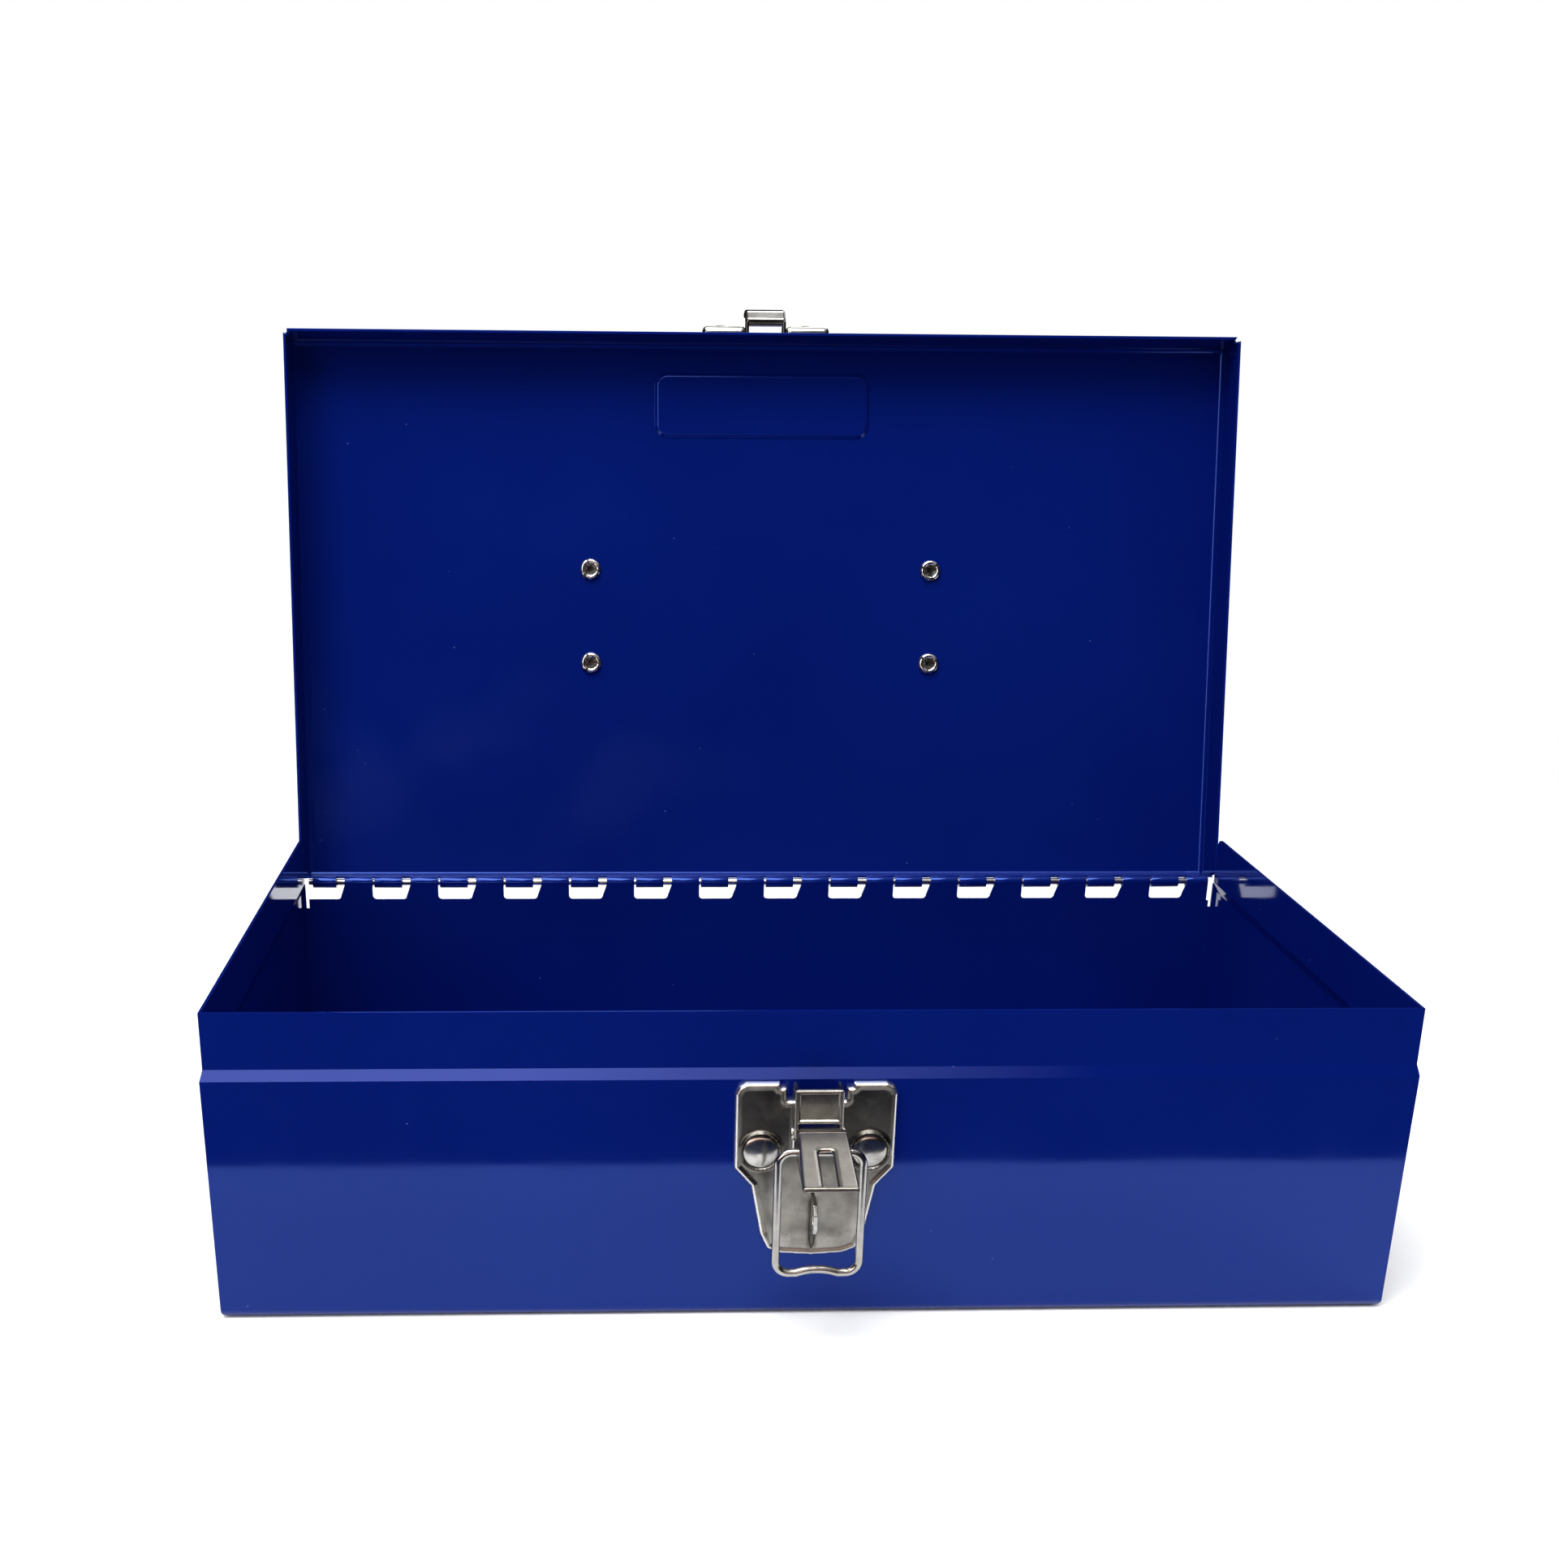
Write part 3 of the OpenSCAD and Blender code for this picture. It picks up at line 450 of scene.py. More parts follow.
def mirrored(corners):
    """A half outline, listed upwards on the +x side, closed by its mirror image."""
    return list(corners) + [(-x, z) for x, z in reversed(corners)]


# ---- latch ----

def off_the_wall(front_y):
    """Places x, z and height in mm on the front wall."""
    def place(x, z, height):
        return (x * MM, front_y - height * MM, z * MM)
    return place


def pressed_latch_plate(front_y, finish):
    """The plate's pressed face with rolled rims and rings round its rivets, and its saddle."""
    low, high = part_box("latch_plate")
    left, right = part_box("latch_rivet_left"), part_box("latch_rivet_right")
    foot, half = low.z / MM, high.x / MM
    crown = foot + PLATE_TALL
    rivets = [((b[0].x + b[1].x) / 2 / MM, (b[0].z + b[1].z) / 2 / MM) for b in (left, right)]
    outline = plate_outline(foot, half, crown)
    face = plate_face(foot, rivets)

    def back(x, z, inside):
        return np.where(inside < PLATE_RIM, JUST_OFF, face(x, z, inside) - PLATE_SHEET)

    plate = pressed_sheet(outline, (-half - 0.5, foot - 1), (half + 0.5, crown + 0.5), 0.3,
                          face, back, off_the_wall(front_y))
    parts = [plate] + saddle(front_y, high.z / MM)
    piece = made_piece("latch_plate_pressed", parts, finish["grey_plate"], "box")
    # Rims rubbed bright with painted highlight, and painted shade on the plate.
    rubbed_rims_and_painted_shade(piece, plate[0], outline, foot, crown)
    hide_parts("latch_plate")


def plate_outline(foot, half, crown):
    """A tongue below two shoulders, with a stepped notch at the top and a window under the web."""
    soft = PLATE_RIM
    shoulder = crown - PLATE_SHOULDER_DROP
    right_half = [(0, foot - 0.6 + soft), (9.0, foot + soft), (12.6, foot + 2.6), (14.6, foot + 7),
                  (18.0 - soft * 0.3, shoulder - 5.4), (half - soft, shoulder + 0.4),
                  (half - soft, crown - 3.6), (half - soft - 0.7, crown - soft - 0.8),
                  (half - 3.4, crown - soft), (0, crown - soft)]
    notch = around_box(-8.9, crown - 5.5, 8.9, crown + 9, 0.6)
    step_down = around_box(-10.9, crown - 1.5, 10.9, crown + 9, 0.6)
    window = around_box(-5.9, crown - 21, 5.9, crown, 0.8)
    return without(around_polygon(mirrored(right_half), soft), notch, step_down, window)


def plate_face(foot, rivets):
    """The face's height: a rolled rim, a shallow dish, a ring round each rivet and a ridge at the fin."""
    def face(x, z, inside):
        height = PLATE_RISE - rolled_edge(inside, PLATE_RIM) - 0.45 * ease((inside - 0.9) / 1.3)
        height -= 0.25 * ease((inside - 4) / 8)
        for rx, rz in rivets:
            far = np.hypot(x - rx, z - rz)
            seat = ease((7.0 - far) / 1.1)
            ring = 0.75 * np.exp(-((far - 5.85) / 0.45) ** 2)
            height = height * (1 - seat) + seat * (2.75 + ring)
        thin = 0.9 * np.clip((z - foot - 0.8) / 4, 0, 1)
        ridge = ease((thin + 0.1 - np.abs(x)) / 0.5) * ease((foot + 12 - z) / 2)
        return height + 0.95 * ridge * (thin > 0)
    return face


def rubbed_rims_and_painted_shade(piece, points, outline, foot, crown):
    """Rims are rubbed bright, partly by real rubbing and partly as painted highlight, and painted shade
    darkens the plate towards its top and beside the fin.
    """
    place = np.array(points) / MM
    x, z = place[:, 0], place[:, 2]
    inside = np.maximum(0.0, -outline(x, z))
    beside = ease((2.0 - np.abs(x)) / 1.2) * ease((foot + 20 - z) / 3) * ease((z - foot - 1) / 2)
    upwards = ease((z - foot - 10) / (0.55 * (crown - foot)))
    mark(piece, "rub", ease((1.15 - inside) / 0.7))
    # Painted shade: darker towards the top and beside the fin.
    mark(piece, "stain", np.maximum(0.75 * upwards * ease((inside - 0.6) / 1.0), 0.85 * beside))


def latch_rivets(front_y, finish):
    """Low domed heads in the plate's rings, with their shanks and the closed ends inside."""
    for name in ("latch_rivet_left", "latch_rivet_right"):
        low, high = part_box(name)
        x, z = (low.x + high.x) / 2, (low.z + high.z) / 2
        inner, outer = (front_y - high.y) / MM, (front_y - low.y) / MM
        crown = [(5.15 * math.cos(a), outer - 1.25 + 1.0 * math.sin(a) ** 0.8)
                 for a in (math.radians(t) for t in (0, 12, 25, 40, 55, 70, 82))]
        inside = [(0, inner), (2.8, inner), (3.4, inner + 0.3), (3.4, inner + 1.2), (2.0, inner + 1.2)]
        profile = inside + [(2.0, outer - 1.5), (5.0, outer - 1.5)] + crown + [(0, outer - 0.22)]
        parts = [turned(profile, 56, lambda a, b, h: (x + a * MM, front_y - h * MM, z + b * MM))]
        piece = made_piece(name + "_domed", parts, finish["domed_rivet"], "box", 30)
        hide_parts(name)


def saddle(front_y, top_z):
    """Two ears and the web between them, whose middle is pressed in."""
    low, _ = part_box("latch_plate")
    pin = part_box("lever_pin")
    out = (front_y - low.y) / MM
    half = SADDLE_HALF
    web_foot = top_z - 11
    pin_z = (pin[0].z + pin[1].z) / 2 / MM

    def web_face(x, z, inside):
        return out - rolled_edge(inside, 0.9) - 0.55 * ease((inside - 1.1) / 0.5)

    def web_back(x, z, inside):
        return np.full(x.shape, out - PLATE_SHEET - 0.3) + 0.2 * (inside <= 0)

    web = pressed_sheet(around_box(-half, web_foot, half, top_z, 0.9), (-half - 0.4, web_foot - 0.4),
                        (half + 0.4, top_z + 0.4), 0.2, web_face, web_back, off_the_wall(front_y))
    ear_foot = pin_z - 2.6
    ear = around_polygon([(1.6, ear_foot - 0.7), (4.0, ear_foot + 0.1), (8.0, ear_foot + 0.5),
                          (out - 0.5, ear_foot + 2.1), (out - 0.6, top_z - 0.6), (3.2, top_z - 0.6),
                          (1.6, pin_z + 9.8)], 0.5)
    ears = []
    for side in (-1, 1):
        def on_side(u, z, h, side=side):
            return (side * (half - PLATE_SHEET + h) * MM, front_y - u * MM, z * MM)
        ears.append(rounded_side_sheet(ear, (0.4, ear_foot - 2), (out + 0.6, top_z + 0.5), PLATE_SHEET,
                                       on_side))
    return [web] + ears


def rounded_side_sheet(outline, low, high, thick, place, edge=0.4):
    """A flat sheet whose two faces round over at its rim."""
    def top(x, z, inside):
        return thick - rolled_edge(inside, edge)

    def back(x, z, inside):
        return rolled_edge(inside, edge)

    return pressed_sheet(outline, low, high, 0.25, top, back, place)


def folded_lever(frame, finish):
    """The lever: a slotted face with rolled edges, two flanges, and a strip that wraps its pin."""
    pivot = joint_place(frame, "lever_pivot")
    bail = joint_place(frame, "bail_pivot")
    low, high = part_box("latch_lever")
    reach, tip_half = (pivot.y - low.y) / MM, high.x / MM
    bail_drop = (pivot.z - bail.z) / MM

    def at_pivot(x, out, up):
        return (x * MM, pivot.y - out * MM, pivot.z + up * MM)

    roll = turned([(0, -NECK_HALF), (PIN_WRAP, -NECK_HALF), (PIN_WRAP, NECK_HALF), (0, NECK_HALF)], 40,
                  lambda a, b, h: at_pivot(h, a, b))
    parts = [lever_face(at_pivot, reach, tip_half), lever_strip(at_pivot), roll]
    parts += lever_flanges(at_pivot, reach, tip_half, bail_drop)
    piece = made_piece("latch_lever_folded", parts, finish["lever_plate"], "lever")
    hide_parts("latch_lever")


def lever_face(at_pivot, reach, tip_half):
    """The face beyond the bend, with its tip turned up a little and a sunk lip round its slot."""
    run = (reach - BEND_OUT) / math.cos(TIP_DROP)
    soft = 0.5
    plan = around_polygon([(ROOT_HALF - soft, soft - 0.9), (tip_half - soft, run - soft),
                           (-tip_half + soft, run - soft), (-ROOT_HALF + soft, soft - 0.9)], soft)
    slot_start = (19.95 - BEND_OUT) / math.cos(TIP_DROP)
    slot_end = (reach - 1.3 - BEND_OUT) / math.cos(TIP_DROP)
    slot = around_box(-2.05, slot_start, 2.05, slot_end, 0.9)

    def top(x, along, inside):
        tip = ease((along - run + 1.7) / 0.8)
        slot_lip = 0.16 * ease((1.3 - np.maximum(slot(x, along), 0)) / 0.8)
        return -rolled_edge(inside, 0.75) + 0.18 * tip - slot_lip * (1 - tip)

    def back(x, along, inside):
        return -LEVER_SHEET + rolled_edge(inside, 0.3)

    def on_face(x, along, height):
        out = BEND_OUT + along * math.cos(TIP_DROP) + height * math.sin(TIP_DROP)
        return at_pivot(x, out, BEND_UP - along * math.sin(TIP_DROP) + height * math.cos(TIP_DROP))

    return pressed_sheet(without(plan, slot), (-tip_half - 0.5, -1.2), (tip_half + 0.5, run + 0.5), 0.22,
                         top, back, on_face)


def lever_strip(at_pivot):
    """The narrower strip from the pin's roll up to the bend."""
    run = math.hypot(BEND_OUT, BEND_UP - PIN_WRAP)
    lean = math.atan2(BEND_UP - PIN_WRAP, BEND_OUT)
    soft = 0.3
    neck, root = NECK_HALF - soft, ROOT_HALF - soft
    plan = around_polygon([(neck, 0), (neck, 4.7), (root, 6.9), (root, run + 0.1),
                           (-root, run + 0.1), (-root, 6.9), (-neck, 4.7), (-neck, 0)], soft)

    def on_strip(x, along, height):
        out = along * math.cos(lean) - height * math.sin(lean)
        return at_pivot(x, out, PIN_WRAP + along * math.sin(lean) + height * math.cos(lean))

    return pressed_sheet(plan, (-8, -1), (8, run + 1), 0.25,
                         lambda x, along, inside: -rolled_edge(inside, 0.4),
                         lambda x, along, inside: -LEVER_SHEET + rolled_edge(inside, 0.3), on_strip)


def lever_flanges(at_pivot, reach, tip_half, bail_drop):
    """The two side flanges that carry the bail, spreading with the face."""
    tip_up = BEND_UP - (reach - BEND_OUT) * math.tan(TIP_DROP)
    flange = around_polygon([(7.0, 2.7), (BEND_OUT, BEND_UP - 0.7), (reach - 0.5, tip_up - 0.7),
                             (reach - 0.5, tip_up - 1.0), (16.5, -bail_drop - 1.8),
                             (8.2, -bail_drop - 1.8), (7.0, -bail_drop - 0.5)], 0.3)
    flanges = []
    for side in (-1, 1):
        def on_side(out, up, h, side=side):
            share = min(max((out - BEND_OUT) / (reach - BEND_OUT), 0.0), 1.0)
            x = ROOT_HALF + (tip_half - ROOT_HALF) * share - LEVER_SHEET + h
            return at_pivot(side * x, out, up)
        flanges.append(rounded_side_sheet(flange, (6, -6), (reach + 0.5, 6), LEVER_SHEET, on_side, 0.35))
    return flanges


def turned(profile, sides, place):
    """A closed turned shape from radius and height pairs that start and end on the axis."""
    points, faces = [], []
    inner = profile[1:-1]
    for radius, height in inner:
        for k in range(sides):
            a = 2 * math.pi * k / sides
            points.append(place(radius * math.cos(a), radius * math.sin(a), height))
    for i in range(len(inner) - 1):
        for k in range(sides):
            n = (k + 1) % sides
            faces.append((i * sides + k, i * sides + n, (i + 1) * sides + n, (i + 1) * sides + k))
    for end, height, ring in ((0, profile[0][1], 0), (1, profile[-1][1], (len(inner) - 1) * sides)):
        centre = len(points)
        points.append(place(0, 0, height))
        for k in range(sides):
            n = (k + 1) % sides
            faces.append((centre, ring + n, ring + k) if end == 0 else (centre, ring + k, ring + n))
    return points, faces


def joint_place(frame, name):
    """Where a joint's axis stands at rest, in metres."""
    return next(Vector(j["pos_m"]) for j in frame["joints"] if j["name"] == name)


# ---- lid ----

def lid_turn(frame):
    """Turns the shut lid's frame into its place at rest."""
    hinge = joint_place(frame, "lid_hinge")
    limits = next(j["range_deg"] for j in frame["joints"] if j["name"] == "lid_hinge")
    opening = math.radians(limits[1] - limits[0])
    return Matrix.Translation(hinge) @ Matrix.Rotation(-opening, 4, "X") @ Matrix.Translation(-hinge)


def shut_points(piece, turn):
    """The points of a piece of the lid, taken back to where they are when it is shut, in metres."""
    back = np.array(turn.inverted())
    points = np.array([v.co for v in piece.data.vertices], float)
    return points @ back[:3, :3].T + back[:3, 3]


def pressed_label(frame, turn, finish):
    """The label recess seen from inside: a low plateau that swells out of the lid in one soft curve."""
    points = shut_points(frame["nodes"]["lid_shell"], turn) / MM
    under = points[:, 2].max() - SHEET
    deep, zone = 1.0, 60
    on_plateau = np.abs(points[:, 2] - under + deep) < 0.1
    on_plateau &= (np.abs(points[:, 0]) < zone) & (points[:, 1] < points[:, 1].min() + zone)
    (x0, y0), (x1, y1) = points[on_plateau][:, :2].min(0), points[on_plateau][:, :2].max(0)
    spread, rise = 1.2, 1.12
    outline = around_box(x0 - spread, y0 - spread, x1 + spread, y1 + spread, 3.9 + spread)

    def swell(x, y, inside):
        climb = np.clip(inside / (spread + 0.2), 0, 1)
        return under - rise * ease(climb) - 0.01

    def back(x, y, inside):
        return under - np.where(inside > 0, 0.0, -0.05)

    def in_lid(x, y, z):
        return tuple(turn @ Vector((x * MM, y * MM, z * MM)))

    low, high = (x0 - spread - 0.5, y0 - spread - 0.5), (x1 + spread + 0.5, y1 + spread + 0.5)
    sheet = pressed_sheet(outline, low, high, 0.4, swell, back, in_lid)
    piece = made_piece("label_swell", [sheet], finish["blue_paint"], "lid", 60)


def folded_strike(frame, turn, finish):
    """The strike: two feet with rolled rims, two side plates with the bar's seat, and a curled hook."""
    points = shut_points(frame["nodes"]["strike"], turn) / MM
    face_y = points[:, 1].max()
    x, out, z = np.abs(points[:, 0]), face_y - points[:, 1], points[:, 2]
    reach = out.max()
    bridge = x[out > reach - 2].max() + 0.2
    on_feet = x > bridge + 1
    rise, low, high = out[on_feet].max(), z.min(), z[on_feet].max()

    def in_lid(px, pz, height):
        return tuple(turn @ Vector((px * MM, (face_y - height) * MM, pz * MM)))

    parts = []
    for side in (-1, 1):
        parts.append(strike_foot(side, (bridge - 0.2, x.max()), (low, high), rise, in_lid))
        parts.append(hook_side(side, bridge, reach, low, high, (out, z), in_lid))
    parts.append(curled_hook(bridge - 0.2, reach, low, z.max(), in_lid))
    piece = made_piece("strike_folded", parts, finish["strike_plate"], "lid", 45)
    # Painted shade along the strike's rims and hook.
    painted_edge_shade(piece, turn, around_box(bridge, low, x.max(), high, STRIKE_CORNER), bridge, low)
    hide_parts("strike")


def painted_edge_shade(piece, turn, foot, bridge, low):
    """Painted shade: dark lines round the feet and down the sides and nose of the hook, with a band across
    its fold.
    """
    place = shut_points(piece, turn) / MM
    x, z = np.abs(place[:, 0]), place[:, 2]
    height = place[:, 1].max() - place[:, 1]
    on_foot = ease((x - bridge) / 0.3)
    round_foot = ease((0.80 + foot(x, z)) / 0.5) * (0.12 + 0.88 * ease((1.0 - height) / 0.8))
    hook_sides = ease((x - bridge + 1.1) / 0.4)
    nose = ease((low + 1.9 - z) / 0.9)
    fold = ease((0.7 - np.abs(z - low - 6.2)) / 0.4)
    on_hook = np.maximum(np.maximum(hook_sides, nose), 0.85 * fold)
    mark(piece, "stain", on_foot * round_foot + (1 - on_foot) * on_hook)


def strike_foot(side, across, upright, rise, in_lid):
    """One foot: a flat pad that stands off the skirt by rise and rolls back to it at its rim."""
    near, far = sorted((side * across[0], side * across[1]))
    low, high = upright
    return pressed_sheet(around_box(near, low, far, high, STRIKE_CORNER), (near - 0.4, low - 0.4),
                         (far + 0.4, high + 0.4), 0.25,
                         lambda px, pz, inside: rise - rolled_edge(inside, 1.6),
                         lambda px, pz, inside: np.where(inside < 1.2, JUST_OFF, rise - STRIKE_SHEET),
                         in_lid)


def hook_side(side, bridge, reach, low, high, measured, in_lid):
    """One side plate of the hook, open at the top down to the bar's seat, which is measured on the
    points of the frame's own strike."""
    out, z = measured
    bar_z = low + BAR_ABOVE_STRIKE
    seat = out[(np.abs(z - bar_z) < 0.3) & (out > 1.5) & (out < reach - 1.3)]
    centre, half = (seat.min() + seat.max()) / 2, (seat.max() - seat.min()) / 2
    shape = around_polygon([(0.3, low + 0.5), (4.5, low + 0.5), (reach - 2.0, low + 4.5),
                            (reach - 0.6, low + 8.3), (reach - 0.6, high - 0.3), (0.3, high - 0.3)], 0.25)

    def seat_round(u, v):
        return np.hypot(u - centre, v - bar_z) - half

    mouth = around_polygon([(centre - half, bar_z), (centre + half, bar_z), (centre + half + 0.3, high + 1),
                            (centre - half - 2.4, high + 1)])
    outline = without(shape, seat_round, mouth)

    def on_side(u, v, h):
        return in_lid(side * (bridge - STRIKE_SHEET + h), v, u)

    return rounded_side_sheet(outline, (0, low - 0.2), (reach + 0.2, high + 0.2), STRIKE_SHEET, on_side)


def curled_hook(half, reach, low, high, in_lid):
    """The lip across the hook: one smooth curl from its tucked nose to its tip."""
    corners = np.array([(4.4, low + 0.1), (reach - 1.6, low + 4.1), (reach, low + 8.0), (reach, high)])
    steps = np.hypot(*np.diff(corners, axis=0).T)
    length = steps.sum()
    at_corner = np.concatenate([[0.0], np.cumsum(steps)])
    at = np.linspace(0, length, 160)
    run = np.stack([np.interp(at, at_corner, corners[:, k]) for k in (0, 1)], -1)
    smoothings = 240
    for _ in range(smoothings):
        run[1:-1] = (run[:-2] + run[2:]) / 2
    way = np.gradient(run, axis=0)
    way /= np.hypot(way[:, 0], way[:, 1])[:, None]

    def on_hook(px, s, height):
        place = np.array([np.interp(s, at, run[:, k]) for k in (0, 1)])
        ahead = np.array([np.interp(s, at, way[:, k]) for k in (0, 1)])
        place = place + height * np.array([ahead[1], -ahead[0]])
        return in_lid(px, place[1], place[0])

    def tuck(s):
        return 1.3 * ease((2.4 - s) / 2.4)

    outline = around_box(-half, 0, half, length, 0.8)
    return pressed_sheet(outline, (-half - 0.4, -0.4), (half + 0.4, length + 0.4), 0.25,
                         lambda px, s, inside: -rolled_edge(inside, 0.5) - tuck(s),
                         lambda px, s, inside: -1.05 + rolled_edge(inside, 0.3) - tuck(s), on_hook)


# ---- repeated rivet ends, by Geometry Nodes ----

def group_socket(tree, name, kind, value):
    """A named input of a tree, told by its identifier."""
    item = tree.interface.new_socket(name=name, in_out="INPUT", socket_type=kind)
    item.default_value = value
    return item.identifier


def flared_ends_tree(material):
    """Split, flared rivet ends on the corners of a rectangle: arcs of a thick ring with slits between."""
    tree = bpy.data.node_groups.new("flared_rivet_ends", "GeometryNodeTree")
    sockets = {
        "Span": group_socket(tree, "Span", "NodeSocketFloat", 0.1),
        "Rise": group_socket(tree, "Rise", "NodeSocketFloat", 0.03),
        "Splits": group_socket(tree, "Splits", "NodeSocketInt", 3),
        "Sweep": group_socket(tree, "Sweep", "NodeSocketFloat", 1.9),
        "Ring": group_socket(tree, "Ring", "NodeSocketFloat", 0.003),
        "Wall": group_socket(tree, "Wall", "NodeSocketFloat", 0.001),
        "Seed": group_socket(tree, "Seed", "NodeSocketInt", 5),
    }
    tree.interface.new_socket(name="Geometry", in_out="OUTPUT", socket_type="NodeSocketGeometry")
    link = tree.links.new
    given = tree.nodes.new("NodeGroupInput")
    arcs = split_ring(tree, given)
    corners = add_node(tree, "GeometryNodeMeshGrid", Vertices_X=2, Vertices_Y=2)
    link(given.outputs["Span"], corners.inputs["Size X"])
    link(given.outputs["Rise"], corners.inputs["Size Y"])
    turn = add_node(tree, "FunctionNodeRandomValue", data_type="FLOAT_VECTOR")
    turn.inputs[0].default_value = (0, 0, 0)
    turn.inputs[1].default_value = (0, 0, 2 * math.pi)
    link(given.outputs["Seed"], turn.inputs["Seed"])
    ends = tree.nodes.new("GeometryNodeInstanceOnPoints")
    link(corners.outputs["Mesh"], ends.inputs["Points"])
    link(arcs, ends.inputs["Instance"])
    link(turn.outputs[0], ends.inputs["Rotation"])
    finish_tree(tree, ends.outputs["Instances"], material)
    return tree, sockets


def split_ring(tree, given):
    """One rivet end: as many arcs as there are splits, each turned on by an equal share."""
    link = tree.links.new
    arc = add_node(tree, "GeometryNodeCurveArc", Resolution=12)
    link(given.outputs["Ring"], arc.inputs["Radius"])
    link(given.outputs["Sweep"], arc.inputs["Sweep Angle"])
    wire = add_node(tree, "GeometryNodeCurvePrimitiveCircle", Resolution=12)
    link(given.outputs["Wall"], wire.inputs["Radius"])
    body = tree.nodes.new("GeometryNodeCurveToMesh")
    body.inputs["Fill Caps"].default_value = True
    link(arc.outputs["Curve"], body.inputs["Curve"])
    link(wire.outputs["Curve"], body.inputs["Profile Curve"])
    row = tree.nodes.new("GeometryNodeMeshLine")
    row.inputs["Offset"].default_value = (0, 0, 0)
    link(given.outputs["Splits"], row.inputs["Count"])
    index = tree.nodes.new("GeometryNodeInputIndex")
    share = add_node(tree, "ShaderNodeMath", operation="DIVIDE")
    link(index.outputs[0], share.inputs[0])
    link(given.outputs["Splits"], share.inputs[1])
    angle = add_node(tree, "ShaderNodeMath", operation="MULTIPLY")
    link(share.outputs[0], angle.inputs[0])
    angle.inputs[1].default_value = 2 * math.pi
    about_z = tree.nodes.new("ShaderNodeCombineXYZ")
    link(angle.outputs[0], about_z.inputs["Z"])
    arcs = tree.nodes.new("GeometryNodeInstanceOnPoints")
    link(row.outputs["Mesh"], arcs.inputs["Points"])
    link(body.outputs["Mesh"], arcs.inputs["Instance"])
    link(about_z.outputs[0], arcs.inputs["Rotation"])
    return arcs.outputs["Instances"]


def finish_tree(tree, instances, material):
    """Ends a tree in Realize Instances and Set Material."""
    link = tree.links.new
    real = tree.nodes.new("GeometryNodeRealizeInstances")
    link(instances, real.inputs["Geometry"])
    paint = tree.nodes.new("GeometryNodeSetMaterial")
    paint.inputs["Material"].default_value = material
    link(real.outputs["Geometry"], paint.inputs["Geometry"])
    out = tree.nodes.new("NodeGroupOutput")
    link(paint.outputs["Geometry"], out.inputs["Geometry"])


def grown(name, tree, sockets, values):
    """A plain mesh made by a tree with these inputs."""
    host = placed(name + "_host", bpy.data.meshes.new(name + "_host"))
    modifier = host.modifiers.new("grow", "NODES")
    modifier.node_group = tree
    for key, value in values.items():
        modifier[sockets[key]] = value
    bpy.context.view_layer.update()
    graph = bpy.context.evaluated_depsgraph_get()
    mesh = bpy.data.meshes.new_from_object(host.evaluated_get(graph))
    host.modifiers.remove(modifier)
    bpy.data.objects.remove(host)
    mesh.name = name
    return mesh


def flared_rivet_ends(frame, turn, finish):
    """The handle rivets' flared ends, bright round bores whose dark is painted shade on the CAD rivets."""
    names = [n for n in frame["nodes"] if n.startswith("handle_rivet")]
    boxes = [shut_points(frame["nodes"][n], turn) for n in names]
    middles = np.array([(b.min(0) + b.max(0)) / 2 for b in boxes])
    foot = min(b[:, 2].min() for b in boxes)
    span, rise = np.ptp(middles[:, 0]), np.ptp(middles[:, 1])
    tree, sockets = flared_ends_tree(finish["rivet_steel"])
    mesh = grown("flared_rivet_ends", tree, sockets,
                 {"Span": float(span), "Rise": float(rise), "Splits": 3, "Sweep": math.radians(106),
                  "Ring": 3.0 * MM, "Wall": 0.95 * MM, "Seed": 5})
    centre = (middles[:, 0].mean(), middles[:, 1].mean(), foot + 0.25 * MM)
    mesh.transform(turn @ Matrix.Translation(centre))
    mesh.shade_smooth()
    piece = placed("flared_rivet_ends", mesh)
    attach(piece, "lid")
    # Painted shade: the CAD rivets seen in the bores take the darkened steel.
    for name in names:
        for slot in frame["nodes"][name].material_slots:
            slot.material = finish["rivet_bore_shade"]


# ---- stage ----

def sheet_mesh(name, corners, material):
    """A flat stage piece between four corners."""
    mesh = bpy.data.meshes.new(name)
    mesh.from_pydata([tuple(c) for c in corners], [], [(0, 1, 2, 3)])
    mesh.materials.append(material)
    piece = placed(name, mesh)
    return piece


def glow(name, colour, strength=1.0):
    """A material that only shines, and its light, whose strength a pattern may take over."""
    material = bpy.data.materials.new(name)
    material.use_nodes = True
    tree = material.node_tree
    tree.nodes.clear()
    light = add_node(tree, "ShaderNodeEmission", Strength=strength)
    light.inputs["Color"].default_value = (*colour, 1.0)
    out = add_node(tree, "ShaderNodeOutputMaterial")
    tree.links.new(light.outputs[0], out.inputs["Surface"])
    return material, light


def only_in_reflections(piece):
    piece.visible_camera = False
    piece.visible_diffuse = False
    piece.visible_shadow = False
    piece.visible_transmission = False


def lid_cloud():
    """A pale torn cloud of light that the lid mirrors low on its left."""
    lamp, light = glow("cloud_glow", (1.0, 0.75, 0.65))
    tree = lamp.node_tree
    torn = remap(tree, noise(tree, object_point(tree), 9, 4, 0.55), 0.50, 0.62, 0.0, 1.0)
    place = split_point(tree, "Object")
    left = remap(tree, place["X"], -0.05, 0.10, 1.0, 0.0)
    low = remap(tree, place["Z"], 0.38, 0.52, 1.0, 0.0)
    weight = multiply(tree, multiply(tree, left, low), torn)
    tree.links.new(remap(tree, weight, 0, 1, 0.0, 0.22), light.inputs["Strength"])
    card = sheet_mesh("cloud", [(-0.5, CLOUD_Y, 0.30), (0.12, CLOUD_Y, 0.30),
                                (0.12, CLOUD_Y, 0.55), (-0.5, CLOUD_Y, 0.55)], lamp)
    only_in_reflections(card)


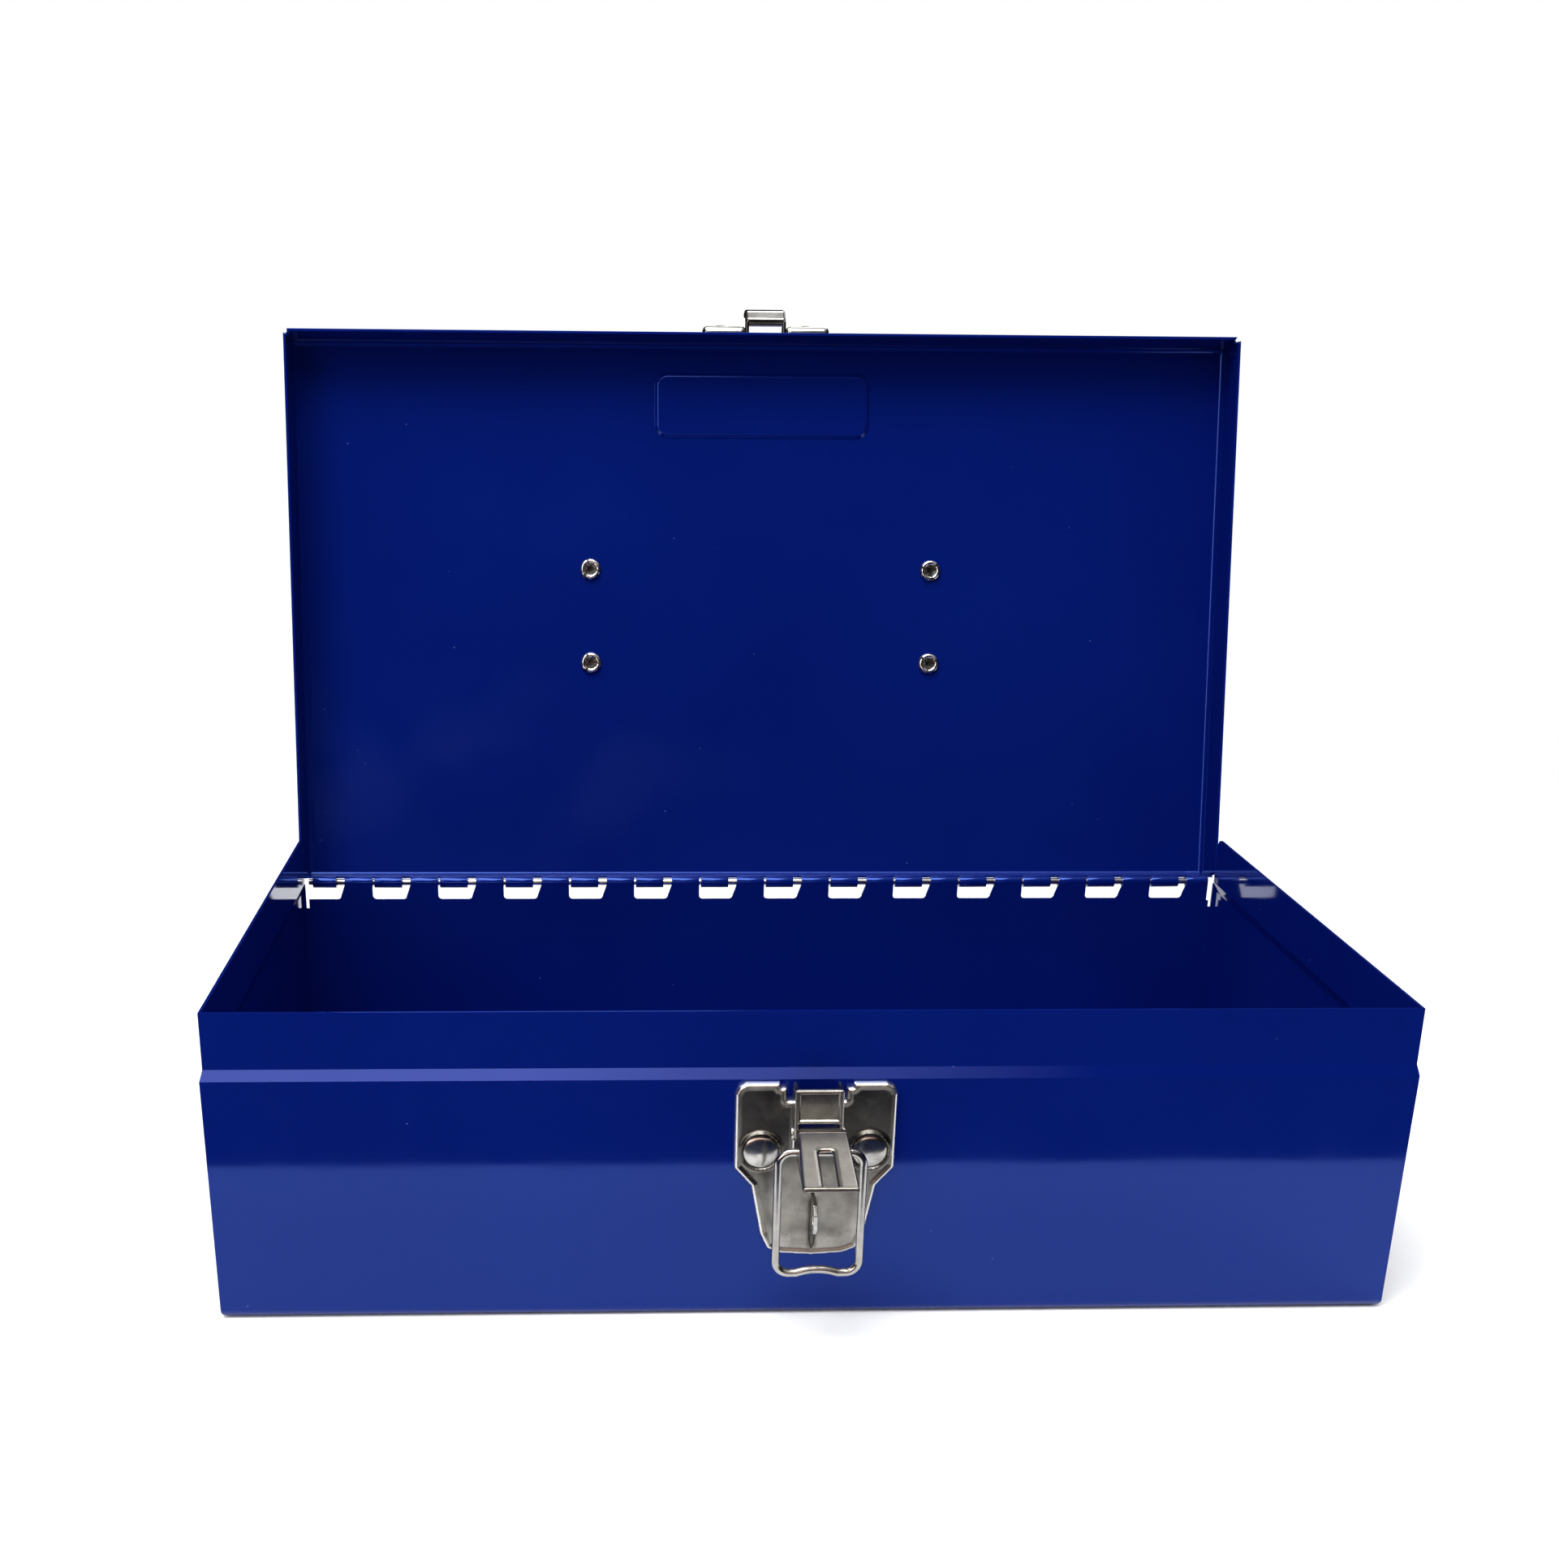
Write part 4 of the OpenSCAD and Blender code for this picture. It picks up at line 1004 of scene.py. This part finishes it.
def pale_floor():
    """A matt floor that fades into the white behind it."""
    material, tree, skin = new_material("pale_floor")
    skin.inputs["Base Color"].default_value = (0.9, 0.9, 0.9, 1)
    skin.inputs["Roughness"].default_value = 0.9
    skin.inputs["Specular IOR Level"].default_value = 0.0
    place = add_node(tree, "ShaderNodeTexCoord")
    far = add_node(tree, "ShaderNodeVectorMath", operation="LENGTH")
    tree.links.new(place.outputs["Object"], far.inputs[0])
    shown = remap(tree, far.outputs["Value"], FLOOR_FADES_FROM, FLOOR_GONE_BY, 1.0, 0.0)
    tree.links.new(shown, skin.inputs["Alpha"])
    r = FLOOR_REACH
    sheet_mesh("floor", [(-r, -r, 0), (r, -r, 0), (r, r, 0), (-r, r, 0)], material)


def dark_flag(front_y):
    """A dark flag on the floor before the box, which only gloss sees."""
    dark, _ = glow("dark_flag", (0.02, 0.03, 0.08))
    y = front_y - PALE_FLOOR_FRONT
    r = FLOOR_REACH
    flag = sheet_mesh("flag", [(-r, -r, MM), (r, -r, MM), (r, y, MM), (-r, y, MM)], dark)
    only_in_reflections(flag)


def shoulder_strip(front_y):
    """A low strip of light that the sloping shoulder mirrors, fading to the right."""
    lamp, light = glow("strip_glow", (1.0, 0.70, 0.62))
    tree = lamp.node_tree
    fade = remap(tree, split_point(tree, "Object")["X"], -0.10, 0.16, 5.8, 0.0)
    tree.links.new(fade, light.inputs["Strength"])
    y = front_y - 0.300
    z = SHOULDER_Z + 0.062
    h = 0.022
    strip = sheet_mesh("strip", [(-0.5, y, z - h), (0.3, y, z - h), (0.3, y, z + h), (-0.5, y, z + h)], lamp)
    only_in_reflections(strip)


def left_cards():
    """Two tall cards at the front left, which rounded corners and rivets mirror."""
    lamp, _ = glow("tall_glow", (1.0, 0.80, 0.72), 2.2)
    w = 0.05
    for number, (x, y) in enumerate(((-1.25, -1.0), (-0.95, -1.35))):
        card = sheet_mesh(f"tall_card_{number}", [(x - w, y + w, 0.1), (x + w, y - w, 0.1),
                                                  (x + w, y - w, 1.5), (x - w, y + w, 1.5)], lamp)
        only_in_reflections(card)


def area_light(name, place, aim, size, power):
    """A rectangle of light at place that faces aim."""
    data = bpy.data.lights.new(name, "AREA")
    data.shape = "RECTANGLE"
    data.size, data.size_y = size
    data.energy = power
    lamp = placed(name, data)
    lamp.location = place
    lamp.rotation_euler = (Vector(aim) - Vector(place)).to_track_quat("-Z", "Y").to_euler()


def studio_lights():
    """A broad overhead light, a weaker one at the front left and one behind."""
    area_light("overhead", (-0.3, -0.45, 1.5), (0, 0, 0.05), (1.3, 1.0), 34)
    area_light("left_front", (-1.3, -1.4, 1.1), (0, 0, 0.1), (0.9, 0.9), 12)
    area_light("back", (0.6, 1.3, 1.4), (0, 0, 0.1), (1.0, 0.8), 12)


def studio_air():
    """White to the eye, soft to dull surfaces, and to gloss dark low down and bright overhead."""
    world = bpy.data.worlds.new("studio_air")
    bpy.context.scene.world = world
    world.use_nodes = True
    tree = world.node_tree
    tree.nodes.clear()
    white = add_node(tree, "ShaderNodeBackground", Color=(1, 1, 1, 1), Strength=1.0)
    soft = add_node(tree, "ShaderNodeBackground", Color=(1, 1, 1, 1), Strength=0.45)
    gloss = add_node(tree, "ShaderNodeBackground", Color=(1, 1, 1, 1))
    height = split_point(tree, "Generated")["Z"]
    tree.links.new(remap(tree, height, 0.5, 0.9, 0.012, 0.85), gloss.inputs["Strength"])
    ray = add_node(tree, "ShaderNodeLightPath")
    by_gloss = mix_shader(tree, ray.outputs["Is Glossy Ray"], soft.outputs[0], gloss.outputs[0])
    by_eye = mix_shader(tree, ray.outputs["Is Camera Ray"], by_gloss, white.outputs[0])
    out = add_node(tree, "ShaderNodeOutputWorld")
    tree.links.new(by_eye, out.inputs["Surface"])


def mix_shader(tree, share, a, b):
    """Shader a where share is 0 and b where it is 1."""
    node = add_node(tree, "ShaderNodeMixShader")
    for socket, source in zip(node.inputs, (share, a, b)):
        tree.links.new(source, socket)
    return node.outputs[0]


def camera():
    """The eye, turned by yaw, then pitch, then roll."""
    sin_yaw, cos_yaw = math.sin(CAMERA_YAW), math.cos(CAMERA_YAW)
    sin_pitch, cos_pitch = math.sin(CAMERA_PITCH), math.cos(CAMERA_PITCH)
    ahead = Vector((sin_yaw * cos_pitch, cos_yaw * cos_pitch, sin_pitch))
    level = Vector((cos_yaw, -sin_yaw, 0))
    over = level.cross(ahead)
    right = level * math.cos(CAMERA_ROLL) + over * math.sin(CAMERA_ROLL)
    up = over * math.cos(CAMERA_ROLL) - level * math.sin(CAMERA_ROLL)
    data = bpy.data.cameras.new("camera")
    data.lens = CAMERA_LENS
    data.sensor_width = 36
    data.shift_x, data.shift_y = CAMERA_SHIFT
    data.clip_start = 0.01
    eye = placed("camera", data)
    turn = Matrix((right, up, -ahead)).transposed()
    eye.matrix_world = Matrix.Translation(CAMERA_PLACE) @ turn.to_4x4()
    bpy.context.scene.camera = eye


def main():
    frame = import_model()
    bpy.context.scene.view_settings.view_transform = "Standard"
    finish = finishes()
    dress_frame(frame, finish)
    front_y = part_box("box_shell")[0].y
    pressed_latch_plate(front_y, finish)
    latch_rivets(front_y, finish)
    folded_lever(frame, finish)
    turn = lid_turn(frame)
    pressed_label(frame, turn, finish)
    flared_rivet_ends(frame, turn, finish)
    folded_strike(frame, turn, finish)
    studio_air()
    pale_floor()
    dark_flag(front_y)
    shoulder_strip(front_y)
    lid_cloud()
    left_cards()
    studio_lights()
    camera()


main()
